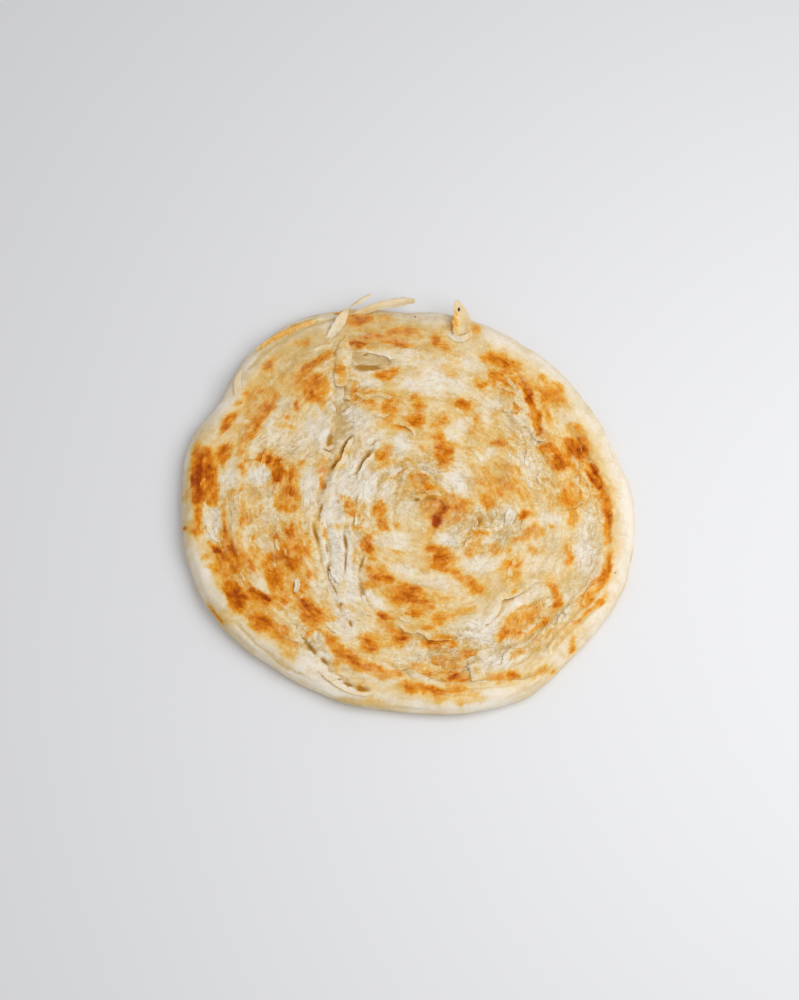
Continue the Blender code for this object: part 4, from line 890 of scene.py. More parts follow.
def browning(x, y):
    """How browned the dough is at each place: below 0 untouched, 0 pale, 1 charred."""
    marked = shaken(x, y, BROWNED_SHAKE, BROWNED_STARTS)
    ragged = ragged_place(x, y)
    crisp, soft = RIM_SOFTNESS
    varied = soft_step(SOFTNESS_CHANGE * patches(x, y, *RIM_NOISE), 1.0)
    core, paler = browned_marks(*marked, crisp + (soft - crisp) * varied)
    white = in_ellipses(*marked, WHITE, CRISP_EDGES)
    halo = (1.0 - core) ** 2 * (1.0 - paler)
    brown = core * (1.0 - WHITE_IN_PATCH * white) + halo * (1.0 - WHITE_IN_HALO * white)
    brown *= (
        1.0 + MOTTLED * patches(x, y, *MOTTLE_NOISE) + STREAKED * along_coil(x, y, *TOAST_STREAKS)
    )
    # Painted highlights: lighter flecks where raised flakes catch the light.
    on_pale, on_brown = HIGHLIGHT_FLECKED
    highlight_fleck = ease(along_coil(x, y, *HIGHLIGHT_FLECKS), *HIGHLIGHT_FLECK_FADE) * (on_pale + (on_brown - on_pale) * core)
    brown *= 1.0 - highlight_fleck - CRUMPLED * crumpled_share(*ragged)
    untouched = UNTOUCHED_FLAKY * in_ellipses(*ragged, FLAKY, SOFT_EDGES)
    untouched += UNTOUCHED_RIM * ease(coil_place(*ragged)[1], *UNTOUCHED_FADE)
    untouched += UNTOUCHED_WHITE * white
    return np.clip(brown - untouched * (1.0 - core), PALEST, 1.0)


def flakiness(x, y):
    """How flaky the dough's skin is: smooth at the rim, and flakiest where its sheets are torn."""
    inner = ease(coil_place(x, y)[1], *FLAKY_FADE)
    on_rim, inside, on_flaky = FLAKY_SHARES
    return on_rim + inner * (inside + on_flaky * in_ellipses(x, y, FLAKY, SOFT_EDGES))


def strand_places(x, y, z):
    """Places in a space that is stretched along the coil's strands and the side's layers."""
    angle, out, across = coil_lines(x, y)
    along = out / FIBRE_LENGTH
    lines = across / FIBRE_WIDTH + z / LAYER_WIDTH
    return np.column_stack([along * np.cos(angle), along * np.sin(angle), lines])


def add_attribute(mesh, name, kind, values):
    """Gives each of the mesh's points a value, or a vector, under the name."""
    layer = mesh.attributes.new(name, kind, "POINT")
    entry = "vector" if kind == "FLOAT_VECTOR" else "value"
    layer.data.foreach_set(entry, np.asarray(values, np.float32).ravel())


def new_mesh(name, bm, material, looks):
    """A smooth mesh of the finished bmesh, with the looks of each point by name."""
    mesh = bpy.data.meshes.new(name)
    bm.to_mesh(mesh)
    bm.free()
    points = np.empty(3 * len(mesh.vertices))
    mesh.vertices.foreach_get("co", points)
    x, y, z = points.reshape(-1, 3).T / MM
    for look, values in looks.items():
        add_attribute(mesh, look, "FLOAT", values)
    add_attribute(mesh, "flaky", "FLOAT", flakiness(x, y))
    add_attribute(mesh, "strand", "FLOAT_VECTOR", strand_places(x, y, z))
    mesh.shade_smooth()
    mesh.materials.append(material)
    return mesh


def add_piece(name, mesh):
    """An object of the mesh that moves with the bread."""
    piece = bpy.data.objects.new(name, mesh)
    bpy.context.scene.collection.objects.link(piece)
    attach(piece, "root")
    return piece


def laid_out_disc(cuts, rings):
    """A flat disc of radius 1 as a grid, with rings outside it for the side and the foot."""
    bm = bmesh.new()
    bmesh.ops.create_grid(bm, x_segments=cuts, y_segments=cuts, size=1.0)
    for vertex in bm.verts:
        across, along = vertex.co.x, vertex.co.y
        if abs(across) >= abs(along):
            radius, turn = across, (along / across * QUARTER_TURN / 2.0 if across else 0.0)
        else:
            radius, turn = along, QUARTER_TURN - across / along * QUARTER_TURN / 2.0
        vertex.co = Vector((radius * math.cos(turn), radius * math.sin(turn), 0.0))
    border = [edge for edge in bm.edges if edge.is_boundary]
    for ring in range(rings + FOOT_RINGS):
        made = bmesh.ops.extrude_edge_only(bm, edges=border)["geom"]
        for vertex in (item for item in made if isinstance(item, bmesh.types.BMVert)):
            vertex.co = vertex.co.normalized() * (2.0 + ring)
        border = [item for item in made if isinstance(item, bmesh.types.BMEdge)]
    bmesh.ops.edgeloop_fill(bm, edges=border)
    return bm


def neighbour_average(values, cuts, times):
    """The grid's values, each replaced by its neighbourhood's average the given times."""
    grid = np.asarray(values).reshape(cuts + 1, cuts + 1)
    for _ in range(times):
        padded = np.pad(grid, 1, mode="edge")
        beside = padded[:-2, 1:-1] + padded[2:, 1:-1] + padded[1:-1, :-2] + padded[1:-1, 2:]
        grid = (beside + 2.0 * grid) / 6.0
    return grid.ravel()


def painted_relief_light(x, y, height, cuts):
    """How far each place of the top's grid stands out, as painted light: a painted highlight on a lip above
    0, painted shade in a hollow below.
    """
    average = neighbour_average(height, cuts, LIP_SPREAD)
    lip = np.clip((height - average) / LIP_HEIGHT, -LIP_LIMIT, LIP_LIMIT)
    crease = crease_relief(*ragged_place(x, y))
    lip += np.minimum(crease / CREASE_HOLLOW + CREASE_SPARED, 0.0)
    return lip - BESIDE_HOLLOW * painted_shadow_beside_sheets(x, y)


def edge_browning(x, y, angle, inward, under):
    """The browning, which ends in an uneven line on the shoulder and fades down the side."""
    mean, change, least = SHOULDER_BROWN_DEPTH
    depth = np.maximum(mean + change * around(angle, *SIDE_NOISE), least)
    on_shoulder = fade_in(SHOULDER_BROWN, ease(inward / depth))
    on_side = SIDE_BROWN * ease(under, *SIDE_BROWN_FADE)
    return browning(x, y) * np.where(under > 0.0, on_side, on_shoulder)


def bread_mesh(shape, material):
    """The bread: relief on top, a layered round side and a flat foot."""
    cuts, rings = shape.grid_cuts, shape.side_rings
    bm = laid_out_disc(cuts, rings)
    flat = np.array([vertex.co[:2] for vertex in bm.verts])
    reach = np.hypot(flat[:, 0], flat[:, 1])
    angle = np.arctan2(flat[:, 1], flat[:, 0])
    edge = edge_radius(angle)
    top = reach <= 1.0 + 1e-6

    # How far each place lies in from the edge, and the angle at which it lies under it.
    share = np.clip((1.0 - np.minimum(reach, 1.0)) * edge / SHOULDER, 0.0, 1.0)
    on_shoulder = SHOULDER * (1.0 - np.cos(share * QUARTER_TURN))
    inward = np.where(share < 1.0, on_shoulder, (1.0 - reach) * edge)
    under = np.where(top, 0.0, np.clip((reach - 1.0) / rings, 0.0, 1.0) * QUARTER_TURN)
    radius = edge - np.where(top, inward, UNDERCUT * (1.0 - np.cos(under)))
    radius *= 1.0 - FOOT_DRAWN_IN * np.clip((reach - 1.0 - rings) / FOOT_RINGS, 0.0, 1.0)

    down = SIDE_ARC * under - SHOULDER_ARC * share
    layered = around(angle, LAYER_RATE, down / LAYER_SPACING)
    layered *= ease(share, *LAYERS_FROM_SHOULDER) * ease(under, *LAYERS_TO_FOOT)
    radius += shape.edge_layering / MM * layered
    x, y = radius * np.cos(angle), radius * np.sin(angle)
    full = np.full(len(x), shape.thickness / MM)
    full[top] = top_height(shape, x[top], y[top])
    height = np.where(top, rounded_off(full, inward), WIDEST_HEIGHT * (1.0 - np.sin(under)))
    for vertex, place in zip(bm.verts, np.column_stack([x, y, height]) * MM):
        vertex.co = Vector(place)
    bmesh.ops.recalc_face_normals(bm, faces=bm.faces)

    grid = slice(0, (cuts + 1) ** 2)
    # Painted light: highlights on raised places, plus white dough, above 0; painted shade in hollows,
    # creases, between the side's layers and beside lifted sheets below 0.
    lip = WHITE_LIP * in_ellipses(x, y, WHITE, BROAD_EDGES) - LAYERED_HOLLOW * layered
    lip[grid] += painted_relief_light(x[grid], y[grid], full[grid], cuts)
    # Moist tan, partly painted shade on the left and upper parts of the bread.
    moist = in_ellipses(*ragged_place(x, y), MOIST_AND_SHADED, BROAD_EDGES)
    looks = {
        "browned": edge_browning(x, y, angle, inward, under),
        "lip": np.clip(lip, -1.0, 1.0),
        "moist": moist * ease(under, *SIDE_MOIST_AND_SHADE_FADE),
        # Where the gaps' floors get painted shade.
        "gap": in_ellipses(x, y, SHADED_GAPS, GAP_SOFTNESS) * top,
        "foot": ease(under, *FOOT_FADE),
    }
    return new_mesh("bread", bm, material, looks)


def surface_grid(bm, places):
    """Adds a sheet of faces through the places, an array of rows and columns of points."""
    rows, columns = places.shape[:2]
    made = bmesh.ops.create_grid(bm, x_segments=rows - 1, y_segments=columns - 1, size=1.0)
    for vertex in made["verts"]:
        row = round((vertex.co.x + 1.0) / 2.0 * (rows - 1))
        column = round((vertex.co.y + 1.0) / 2.0 * (columns - 1))
        vertex.co = Vector(places[row, column]) * MM


def grid_order(values):
    """A sheet's values in the order in which surface_grid makes its vertices."""
    return np.asarray(values).T.ravel()


def over_grid(function, x, y):
    """The function's values at the places of a grid."""
    return function(x.ravel(), y.ravel()).reshape(x.shape)


class SheetPile:
    """Thin sheets of dough gathered into one mesh, with what the material reads."""

    def __init__(self, shape):
        self.shape = shape
        self.bm = bmesh.new()
        self.looks = []

    def add(self, places, browned, lip, moist):
        """Adds one sheet through the places, with how brown it is, its painted light and how moist and
        shaded it is.
        """
        surface_grid(self.bm, places)
        looks = [np.broadcast_to(share, places.shape[:2]) for share in (browned, lip, moist)]
        self.looks.append([grid_order(share) for share in looks])

    def bed(self, x, y, back):
        """What a sheet lies on: the skin, but no lower at its free edge than further back."""
        skin = over_grid(lambda flat_x, flat_y: surface_height(self.shape, flat_x, flat_y), x, y)
        behind = skin[:, SHEET_COLUMNS // 2 :].mean(1)[:, None]
        propped = np.where(back < SHEET_BEDDED, np.maximum(skin, behind), skin)
        return 0.5 * (propped + np.maximum(skin, 0.5 * (propped + behind)))

    def torn_sheet(self, points, width, lift, shown, torn, seed):
        """Adds a sheet whose free edge runs through the points, with the sheet on its left."""
        steps = max(SHEET_LEAST_STEPS, round(path_length(points) / SHEET_EDGE_STEP))
        share = np.linspace(0.0, 1.0, steps)[:, None]
        along = path_length(points) * share[:, 0]
        ends = ease(np.minimum(share, 1.0 - share), *SHEET_ENDS)
        back = np.linspace(0.0, 1.0, SHEET_COLUMNS) ** SHEET_CROWDING
        tears = np.zeros(steps)
        for size, length, start in SHEET_TEARS:
            tears += size * torn * fractal(along / length, seed, start)
        offset = tears[:, None] * (1.0 - back) ** 2
        offset = offset + fade_in(SHEET_END_WIDTH, ends) * width * back
        x, y = beside_path(smooth_path(points, steps), offset)
        mean, change, length, start = SHEET_CURL
        curl = mean + change * fractal(along / length, seed, start)[:, None]
        rise = (SHEET_LEAST_RISE + SHEET_RISE * lift * curl * ends) * (1.0 - back) ** SHEET_FALL
        sunk = SHEET_SUNK_BACK * ease(back) + SHEET_SUNK_ENDS * (1.0 - ends)
        brown = over_grid(browning, x, y) * fade_in(shown, ease(back))
        # A painted highlight along the free edge.
        lip = SHEET_EDGE_HIGHLIGHT * (1.0 - back) ** 4 * ends
        self.add(np.stack([x, y, self.bed(x, y, back) + rise - sunk], axis=2), brown, lip, 0.0)

    def ribbon(self, points, brown, shown, moist, curl, seed):
        """Adds a loose ribbon, with its points' heights, half widths and twists."""
        steps = max(RIBBON_LEAST_STEPS, round(path_length(points) / RIBBON_STEP))
        path = smooth_path(points, steps)
        share = np.linspace(0.0, 1.0, steps)
        across = np.linspace(-1.0, 1.0, RIBBON_COLUMNS)
        size, start = RIBBON_BROAD
        wave = 1.0 + size * fractal(RIBBON_WAVES * share, seed, start)
        size, length, start = RIBBON_NICKED
        wave += size * fractal(path_length(points) * share / length, seed, start)
        half = (path[:, 3] * wave)[:, None] * across
        twist = np.radians(path[:, 4])[:, None]
        bowed = curl * (across**2 - RIBBON_BOWED_FROM) * path[:, 3, None]
        x, y = beside_path(path, half * np.cos(twist) - bowed * np.sin(twist))
        base = plain_height(self.shape, path[:, 0], path[:, 1]) + path[:, 2]
        z = base[:, None] + half * np.sin(twist) + bowed * np.cos(twist)
        mean, change, length = RIBBON_TOASTED
        mottle = over_grid(lambda flat_x, flat_y: patches(flat_x, flat_y, length, seed), x, y)
        toasted = np.maximum(shown * over_grid(browning, x, y), brown * (mean + change * mottle))
        # A painted highlight on the ribbon's curled sides.
        lip = RIBBON_SIDE_HIGHLIGHT * across**2 * (1.0 - moist)
        self.add(np.stack([x, y, z], axis=2), toasted, lip, moist)

    def finish(self, name, material, thickness):
        """Makes the pile one object, and gives its sheets their thickness."""
        parts = (np.concatenate(part) for part in zip(*self.looks))
        looks = dict(zip(("browned", "lip", "moist"), parts))
        piece = add_piece(name, new_mesh(name, self.bm, material, looks))
        wall = piece.modifiers.new("wall", "SOLIDIFY")
        wall.thickness = thickness
        wall.offset = 0.0


class Socket:
    """A node's output. Arithmetic on it adds Math nodes."""

    def __init__(self, maker, output):
        self.maker = maker
        self.output = output

    def math(self, operation, first, second):
        """A Math node of the two values."""
        return self.maker.node("ShaderNodeMath", {"operation": operation}, {0: first, 1: second})

    def __add__(self, other):
        return self.math("ADD", self, other)

    def __sub__(self, other):
        return self.math("SUBTRACT", self, other)

    def __mul__(self, other):
        return self.math("MULTIPLY", self, other)

    def __rsub__(self, other):
        return self.math("SUBTRACT", other, self)

    __radd__ = __add__
    __rmul__ = __mul__

    def limited(self):
        """The value kept between 0 and 1."""
        return self.maker.node("ShaderNodeClamp", {}, {"Value": self})

    def size(self):
        """The value without its sign."""
        return self.math("ABSOLUTE", self, 0.0)


class MaterialMaker:
    """Adds nodes to one new material."""

    def __init__(self, name):
        self.material = bpy.data.materials.new(name)
        self.material.use_nodes = True
        self.tree = self.material.node_tree
        self.shader = self.tree.nodes["Principled BSDF"]
        self.place = self.node("ShaderNodeTexCoord", {}, {}, "Object")

    def node(self, kind, settings, sockets, output=0):
        """A node of the kind, with its settings and sockets, as its output's Socket."""
        node = self.tree.nodes.new(kind)
        for name, value in settings.items():
            if name == "stops":
                self.fill_ramp(node.color_ramp, value)
            else:
                setattr(node, name, value)
        for name, value in sockets.items():
            self.feed(node.inputs[name], value)
        return Socket(self, node.outputs[output])

    def feed(self, entry, value):
        """Links a Socket to the entry, or sets the entry's own value."""
        if isinstance(value, Socket):
            self.tree.links.new(value.output, entry)
        else:
            entry.default_value = value

    def fill_ramp(self, ramp, stops):
        """Gives the ramp its stops, each a place and a colour."""
        while len(ramp.elements) < len(stops):
            ramp.elements.new(0.5)
        for element, (place, colour) in zip(ramp.elements, stops):
            element.position = place
            element.color = colour

    def attribute(self, name, output="Fac"):
        """A value that the mesh carries."""
        return self.node("ShaderNodeAttribute", {"attribute_name": name}, {}, output)

    def noise(self, place, size, detail=2.0, roughness=0.5, distortion=0.0):
        """Noise about 0 with features of about the size."""
        sockets = {"Vector": place, "Scale": 1.0 / size, "Detail": detail, "Roughness": roughness,
                   "Distortion": distortion}
        return self.node("ShaderNodeTexNoise", {}, sockets) - 0.5

    def mix(self, share, first, second, blend="MIX"):
        """The first colour, and as much of the second as the share says."""
        sockets = {0: share, 6: first, 7: second}
        return self.node("ShaderNodeMix", {"data_type": "RGBA", "blend_type": blend}, sockets, 2)


class BreadShape(bpy.types.PropertyGroup):
    """The bread's own form."""

    thickness: FloatProperty(
        name="Thickness", description="Height of the middle of the bread", default=0.0096,
        min=0.004, max=0.02, subtype="DISTANCE", unit="LENGTH",
    )
    swell: FloatProperty(
        name="Swell", description="How far the top rises and falls over a few centimetres",
        default=0.001, min=0.0, max=0.004, subtype="DISTANCE", unit="LENGTH",
    )
    strand_relief: FloatProperty(
        name="Strand relief", description="How far the coil's strands stand out",
        default=0.00038, min=0.0, max=0.002, subtype="DISTANCE", unit="LENGTH",
    )
    sheet_step: FloatProperty(
        name="Sheet step", description="How high one torn sheet stands over the next",
        default=0.00028, min=0.0, max=0.002, subtype="DISTANCE", unit="LENGTH",
    )
    streak_relief: FloatProperty(
        name="Streak relief", description="Depth of the fine streaks along the strands",
        default=0.00008, min=0.0, max=0.001, subtype="DISTANCE", unit="LENGTH",
    )
    edge_layering: FloatProperty(
        name="Edge layering", description="How far the layers stand out at the side",
        default=0.00065, min=0.0, max=0.002, subtype="DISTANCE", unit="LENGTH",
    )
    grid_cuts: IntProperty(
        name="Grid cuts", description="How finely the top is laid out", default=270, min=40, max=280
    )
    side_rings: IntProperty(
        name="Side rings", description="How finely the side is laid out", default=14, min=4, max=20
    )


class FlakeSettings(bpy.types.PropertyGroup):
    """The small loose flakes."""

    count: IntProperty(
        name="Count", description="How many small flakes lie on the top", default=110, min=0, max=400
    )
    longest: FloatProperty(
        name="Longest", description="Length of the longest small flake", default=0.01,
        min=0.002, max=0.03, subtype="DISTANCE", unit="LENGTH",
    )
    lift: FloatProperty(
        name="Lift", description="How far a flake's free edge stands off the top",
        default=0.00018, min=0.0, max=0.003, subtype="DISTANCE", unit="LENGTH",
    )
    thickness: FloatProperty(
        name="Sheet thickness", description="Thickness of every thin sheet of dough",
        default=0.0002, min=0.0001, max=0.001, subtype="DISTANCE", unit="LENGTH",
    )
    seed: IntProperty(name="Seed", description="Start of the random draws", default=7, min=0)


class DoughLooks(bpy.types.PropertyGroup):
    """The colours of fried dough, painted highlights and shade among them, and its sheen."""

    pale: FloatVectorProperty(
        name="Pale", description="Colour of dough that the pan didn't touch",
        default=(0.89, 0.81, 0.68), size=3, min=0.0, max=1.0, subtype="COLOR",
    )
    cream: FloatVectorProperty(
        name="Cream", description="Colour of lightly warmed dough",
        default=(0.855, 0.665, 0.37), size=3, min=0.0, max=1.0, subtype="COLOR",
    )
    golden: FloatVectorProperty(
        name="Golden", description="Colour of lightly fried dough",
        default=(0.835, 0.535, 0.155), size=3, min=0.0, max=1.0, subtype="COLOR",
    )
    amber: FloatVectorProperty(
        name="Amber", description="Colour of dough that is nearly fried",
        default=(0.81, 0.4, 0.05), size=3, min=0.0, max=1.0, subtype="COLOR",
    )
    orange: FloatVectorProperty(
        name="Orange", description="Colour of fried dough",
        default=(0.78, 0.28, 0.01), size=3, min=0.0, max=1.0, subtype="COLOR",
    )
    browned: FloatVectorProperty(
        name="Browned", description="Colour of well fried dough",
        default=(0.57, 0.145, 0.004), size=3, min=0.0, max=1.0, subtype="COLOR",
    )
    deep: FloatVectorProperty(
        name="Deep brown", description="Colour of the darkest patches",
        default=(0.37, 0.055, 0.004), size=3, min=0.0, max=1.0, subtype="COLOR",
    )
    charred: FloatVectorProperty(
        name="Charred", description="Colour of the burnt specks", default=(0.03, 0.016, 0.008),
        size=3, min=0.0, max=1.0, subtype="COLOR",
    )
    # Painted shade in the hollows between sheets, tinted warm like the moist dough there.
    crevice_shade: FloatVectorProperty(
        name="Crevice", description="Colour of the moist dough down between the sheets",
        default=(0.68, 0.48, 0.21), size=3, min=0.0, max=1.0, subtype="COLOR",
    )
    # Thin moist dough's tan, partly painted shade on the left and upper parts of the bread.
    moist: FloatVectorProperty(
        name="Moist", description="Colour of thin moist dough", default=(0.59, 0.42, 0.18), size=3,
        min=0.0, max=1.0, subtype="COLOR",
    )
    # Painted shade on the floors of the deepest gaps.
    gap_shade: FloatVectorProperty(
        name="Ochre", description="Colour of the floors of the deepest gaps",
        default=(0.44, 0.21, 0.02), size=3, min=0.0, max=1.0, subtype="COLOR",
    )
    # Painted shade beside the torn layers and on the lower layers, and a darker tone at random.
    shade: FloatVectorProperty(
        name="Shade", description="What the colour is multiplied by beside the torn layers",
        default=(0.67, 0.59, 0.46), size=3, min=0.0, max=1.0, subtype="COLOR",
    )
    # Painted highlight on the thin raised edges, also given to white dough.
    lip: FloatVectorProperty(
        name="Lip", description="Colour of the thin raised edges",
        default=(0.88, 0.8, 0.66), size=3, min=0.0, max=1.0, subtype="COLOR",
    )
    subsurface: FloatProperty(
        name="Translucence", description="How much light passes under the dough's skin",
        default=0.35, min=0.0, max=1.0, subtype="FACTOR",
    )
    sheen: FloatProperty(
        name="Sheen", description="Strength of the oil's reflections", default=0.05, min=0.0,
        max=1.0, subtype="FACTOR",
    )


class StageSettings(bpy.types.PropertyGroup):
    """The floor, the light and the camera."""

    floor: FloatVectorProperty(
        name="Floor", description="Colour of the floor", default=(0.8, 0.8, 0.81), size=3,
        min=0.0, max=1.0, subtype="COLOR",
    )
    key_power: FloatProperty(
        name="Key light", description="Power of the large soft light", default=1.62, min=0.0,
        unit="POWER",
    )
    sky: FloatProperty(
        name="Surround", description="Strength of the even light from all sides", default=0.54, min=0.0
    )
    lens: FloatProperty(
        name="Lens", description="Focal length of the camera", default=85.0, min=20.0, max=200.0,
        subtype="DISTANCE_CAMERA",
    )
    elevation: FloatProperty(
        name="Elevation", description="How steeply the camera looks down",
        default=math.radians(72.0), min=0.0, max=math.radians(90.0), subtype="ANGLE",
    )
    distance: FloatProperty(
        name="Distance", description="From the camera to the bread", default=0.884, min=0.3,
        max=3.0, subtype="DISTANCE", unit="LENGTH",
    )


# Noise in the dough's material: the size of its features in metres, or in fibre lengths along
# the strands, then its detail and its roughness.
SEARED_NOISE = (0.018, 3.0, 0.55)
PATCHY_NOISE = (0.011, 3.0, 0.55)
COARSE_NOISE = (0.0035, 3.0, 0.6)
PORE_NOISE = (0.0022, 3.0, 0.5)
FINE_NOISE = (0.0009, 3.0, 0.65)
FIBRE_NOISE = (1.0, 3.0, 0.55)

# One layer torn over another, at three scales: whether it follows the strands, its size, its
# distortion, and its shares of the cover, of the painted highlights on the lips, of the painted
# shade and of the bump.
TORN_LAYERS = (
    (True, 1.2, 0.7, (0.5, 0.6, 0.5, 0.45)),
    (False, 0.0042, 0.9, (0.3, 0.6, 0.55, 0.16)),
    (True, 0.24, 0.6, (0.2, 0.3, 0.25, 0.1)),
)
TORN_DETAIL = 4.0
TORN_ROUGHNESS = 0.6
TORN_SUDDENNESS = 16.0
TORN_LIP_SUDDENNESS = 28.0

# The colours of the dough by how toasted it is, from 0 to 1.
TOASTED = {
    "pale": 0.0,
    "cream": 0.17,
    "golden": 0.32,
    "amber": 0.45,
    "orange": 0.6,
    "browned": 0.8,
    "deep": 0.97,
}

# The small flakes: the square that they are drawn in, how far they keep from the edge, how many
# lie where the dough isn't flaky, how far they turn off the coil, and their lengths and widths
# as shares of the longest.
FLAKE_FIELD = 82.0
FLAKE_RIM = 6.0
FLAKES_ANYWHERE = 0.08
FLAKE_TURN = 70.0
FLAKE_LENGTHS = (0.18, 0.32)
FLAKE_WIDTHS = (0.7, 0.4)
FLAKE_BEND = 0.5
FLAKE_SEED = 300.0

SPECK_SHAPE = (0.5, 1.0, 0.4)

# The stage. Each light has its place and size in metres, and its share of the key light's power.
LIGHTS = {
    "key": ((0.24, -0.04, 0.45), 0.42, 1.0),
    "fill": ((-0.6, -0.6, 0.9), 0.9, 0.1),
}
SKY_COLOUR = (0.96, 0.97, 1.0, 1.0)
FLOOR_RADIUS = 6.0
FLOOR_SHADE = (0.7, 0.7, 0.71, 1.0)
SENSOR_WIDTH = 36.0
LOOKED_AT = (-2.8, -0.3, 9.0)


def torn_layers(make, strand):
    """How covered, how bright, how shaded and how high the torn layers make each place."""
    stretch = {0: strand, 1: SHEET_STRETCH}
    laid = make.node("ShaderNodeVectorMath", {"operation": "MULTIPLY"}, stretch)
    sums = [0.0, 0.0, 0.0, 0.0]
    for follows, size, distortion, shares in TORN_LAYERS:
        place = laid if follows else make.place
        value = make.noise(place, size, TORN_DETAIL, TORN_ROUGHNESS, distortion)
        upper = (value * TORN_SUDDENNESS + 0.5).limited()
        lip = (1.0 - (value * TORN_LIP_SUDDENNESS - 1.0).size()).limited()
        shade = (1.0 - (value * TORN_LIP_SUDDENNESS + 1.0).size()).limited()
        parts = (upper, lip, shade, upper)
        sums = [total + part * share for total, part, share in zip(sums, parts, shares)]
    return sums


def dough_pattern(make):
    """What the dough's finish reads: how it lies and how fried it is, and noise to vary both."""
    dough = SimpleNamespace()
    for look in ("lip", "flaky", "moist", "gap"):
        setattr(dough, look, make.attribute(look))
    strand = make.attribute("strand", "Vector")
    seared = (make.noise(make.place, *SEARED_NOISE) * 5.0 + 0.2).limited() * 0.75
    dough.browned = make.attribute("browned") + make.attribute("foot") * seared
    dough.pale = 1.0 - (dough.browned * 1.6).limited()
    dough.patchy = make.noise(make.place, *PATCHY_NOISE)
    dough.coarse = make.noise(make.place, *COARSE_NOISE)
    dough.fine = make.noise(make.place, *FINE_NOISE)
    dough.pores = make.noise(make.place, *PORE_NOISE)
    dough.fibres = make.noise(strand, *FIBRE_NOISE)
    dough.covered, dough.bright, dough.shaded, dough.layered = torn_layers(make, strand)
    return dough


def toasted_colour(make, looks, dough):
    """The colour by how far the dough is fried, streaked and flecked as its layers lie."""
    rim = (dough.browned * (1.0 - dough.browned) * 4.5).limited()
    thin = dough.fine + dough.fibres
    toast = dough.browned * (dough.browned * 0.24 + 0.78) + 0.145
    toast = toast + dough.patchy * 0.38 + dough.coarse * 0.16 + thin * 0.12
    toast = toast + rim * (dough.coarse * 0.2 + thin * 0.22)
    toast = toast - dough.flaky * dough.covered * (dough.browned * 0.27 + 0.12)
    stops = [(place, (*getattr(looks, name), 1.0)) for name, place in TOASTED.items()]
    return make.node("ShaderNodeValToRGB", {"stops": stops}, {"Fac": toast.limited()})


def stained_colour(make, looks, dough, colour):
    """The colour with its moist, partly shaded places and its painted light: shade in hollows, highlights on
    bright edges, shade by the torn layers and in dark gaps.
    """
    # The moist tan, partly painted shade on the left and upper parts of the bread.
    moist_and_shaded_share = (dough.moist * (dough.coarse + 0.75) + dough.patchy * 0.35).limited()
    moist_and_shaded_share = moist_and_shaded_share * (1.0 - dough.browned).limited() * 0.8
    colour = make.mix(moist_and_shaded_share, colour, (*looks.moist, 1.0))
    # Painted shade in creases, in hollows and beside lifted sheets, tinted warm like moist dough.
    hollow_shade = (dough.lip * -0.95).limited() * dough.pale
    colour = make.mix(hollow_shade, colour, (*looks.crevice_shade, 1.0))
    # Painted highlights on raised edges and on the torn layers' lips, with white dough and fibres.
    raised = (dough.lip * 0.7 + dough.fibres * 0.3 + dough.flaky * dough.bright).limited()
    raised = raised * (1.0 - (dough.browned * 1.4).limited())
    colour = make.mix(raised, colour, (*looks.lip, 1.0))
    # Painted shade beside the torn layers and on the lower layers, and a darker tone at random.
    shade = (dough.shaded + (1.0 - dough.covered) * 0.3) * dough.flaky * (dough.pale * 0.6 + 0.4)
    shade = shade + (dough.patchy + dough.coarse + dough.fine) * 0.5 * dough.pale
    shade = shade + (dough.coarse + dough.fibres) * 0.5 * (1.0 - dough.pale)
    colour = make.mix(shade.limited(), colour, (*looks.shade, 1.0), "MULTIPLY")
    # Painted shade on the floors of the gaps.
    gap = (dough.gap * (dough.coarse + 1.5)).limited() * 0.95
    return make.mix(gap, colour, (*looks.gap_shade, 1.0))


def dough_material(looks, name, translucence):
    """Fried dough: pale where the pan didn't touch, golden to deep brown where it did."""
    if name in bpy.data.materials:
        return bpy.data.materials[name]
    make = MaterialMaker(name)
    dough = dough_pattern(make)
    shader = make.shader
    colour = stained_colour(make, looks, dough, toasted_colour(make, looks, dough))
    make.feed(shader.inputs["Base Color"], colour)
    make.feed(shader.inputs["Roughness"], 0.58 - dough.browned * 0.16 + dough.coarse * 0.12)
    shader.inputs["Specular IOR Level"].default_value = looks.sheen
    shader.inputs["Subsurface Weight"].default_value = translucence
    shader.inputs["Subsurface Radius"].default_value = (1.0, 0.62, 0.3)
    shader.inputs["Subsurface Scale"].default_value = 0.001
    height = dough.pores * 0.3 + dough.fibres * 0.4 + dough.layered * dough.flaky
    relief = {"Strength": 0.85, "Distance": 0.0004, "Height": height}
    make.feed(shader.inputs["Normal"], make.node("ShaderNodeBump", {}, relief))
    return make.material


def sheet_material(looks):
    """The same dough in sheets that are too thin to glow."""
    return dough_material(looks, "fried_sheets", 0.0)


def charred_material(looks):
    """Dough that burnt to a matt, nearly black crust."""
    make = MaterialMaker("charred_dough")
    grain = (make.noise(make.place, 0.0005) + 0.5).limited() * 0.3
    colour = make.mix(grain, (*looks.charred, 1.0), (*looks.deep, 1.0))
    make.feed(make.shader.inputs["Base Color"], colour)
    make.shader.inputs["Roughness"].default_value = 0.7
    return make.material


def floor_material(settings):
    """A matt pale floor."""
    make = MaterialMaker("floor")
    grain = make.noise(make.place, 0.12, 3.0)
    shade = make.mix(grain * 0.05 + 0.025, (*settings.floor, 1.0), FLOOR_SHADE)
    make.feed(make.shader.inputs["Base Color"], shade)
    make.shader.inputs["Roughness"].default_value = 0.7
    make.shader.inputs["Specular IOR Level"].default_value = 0.2
    return make.material


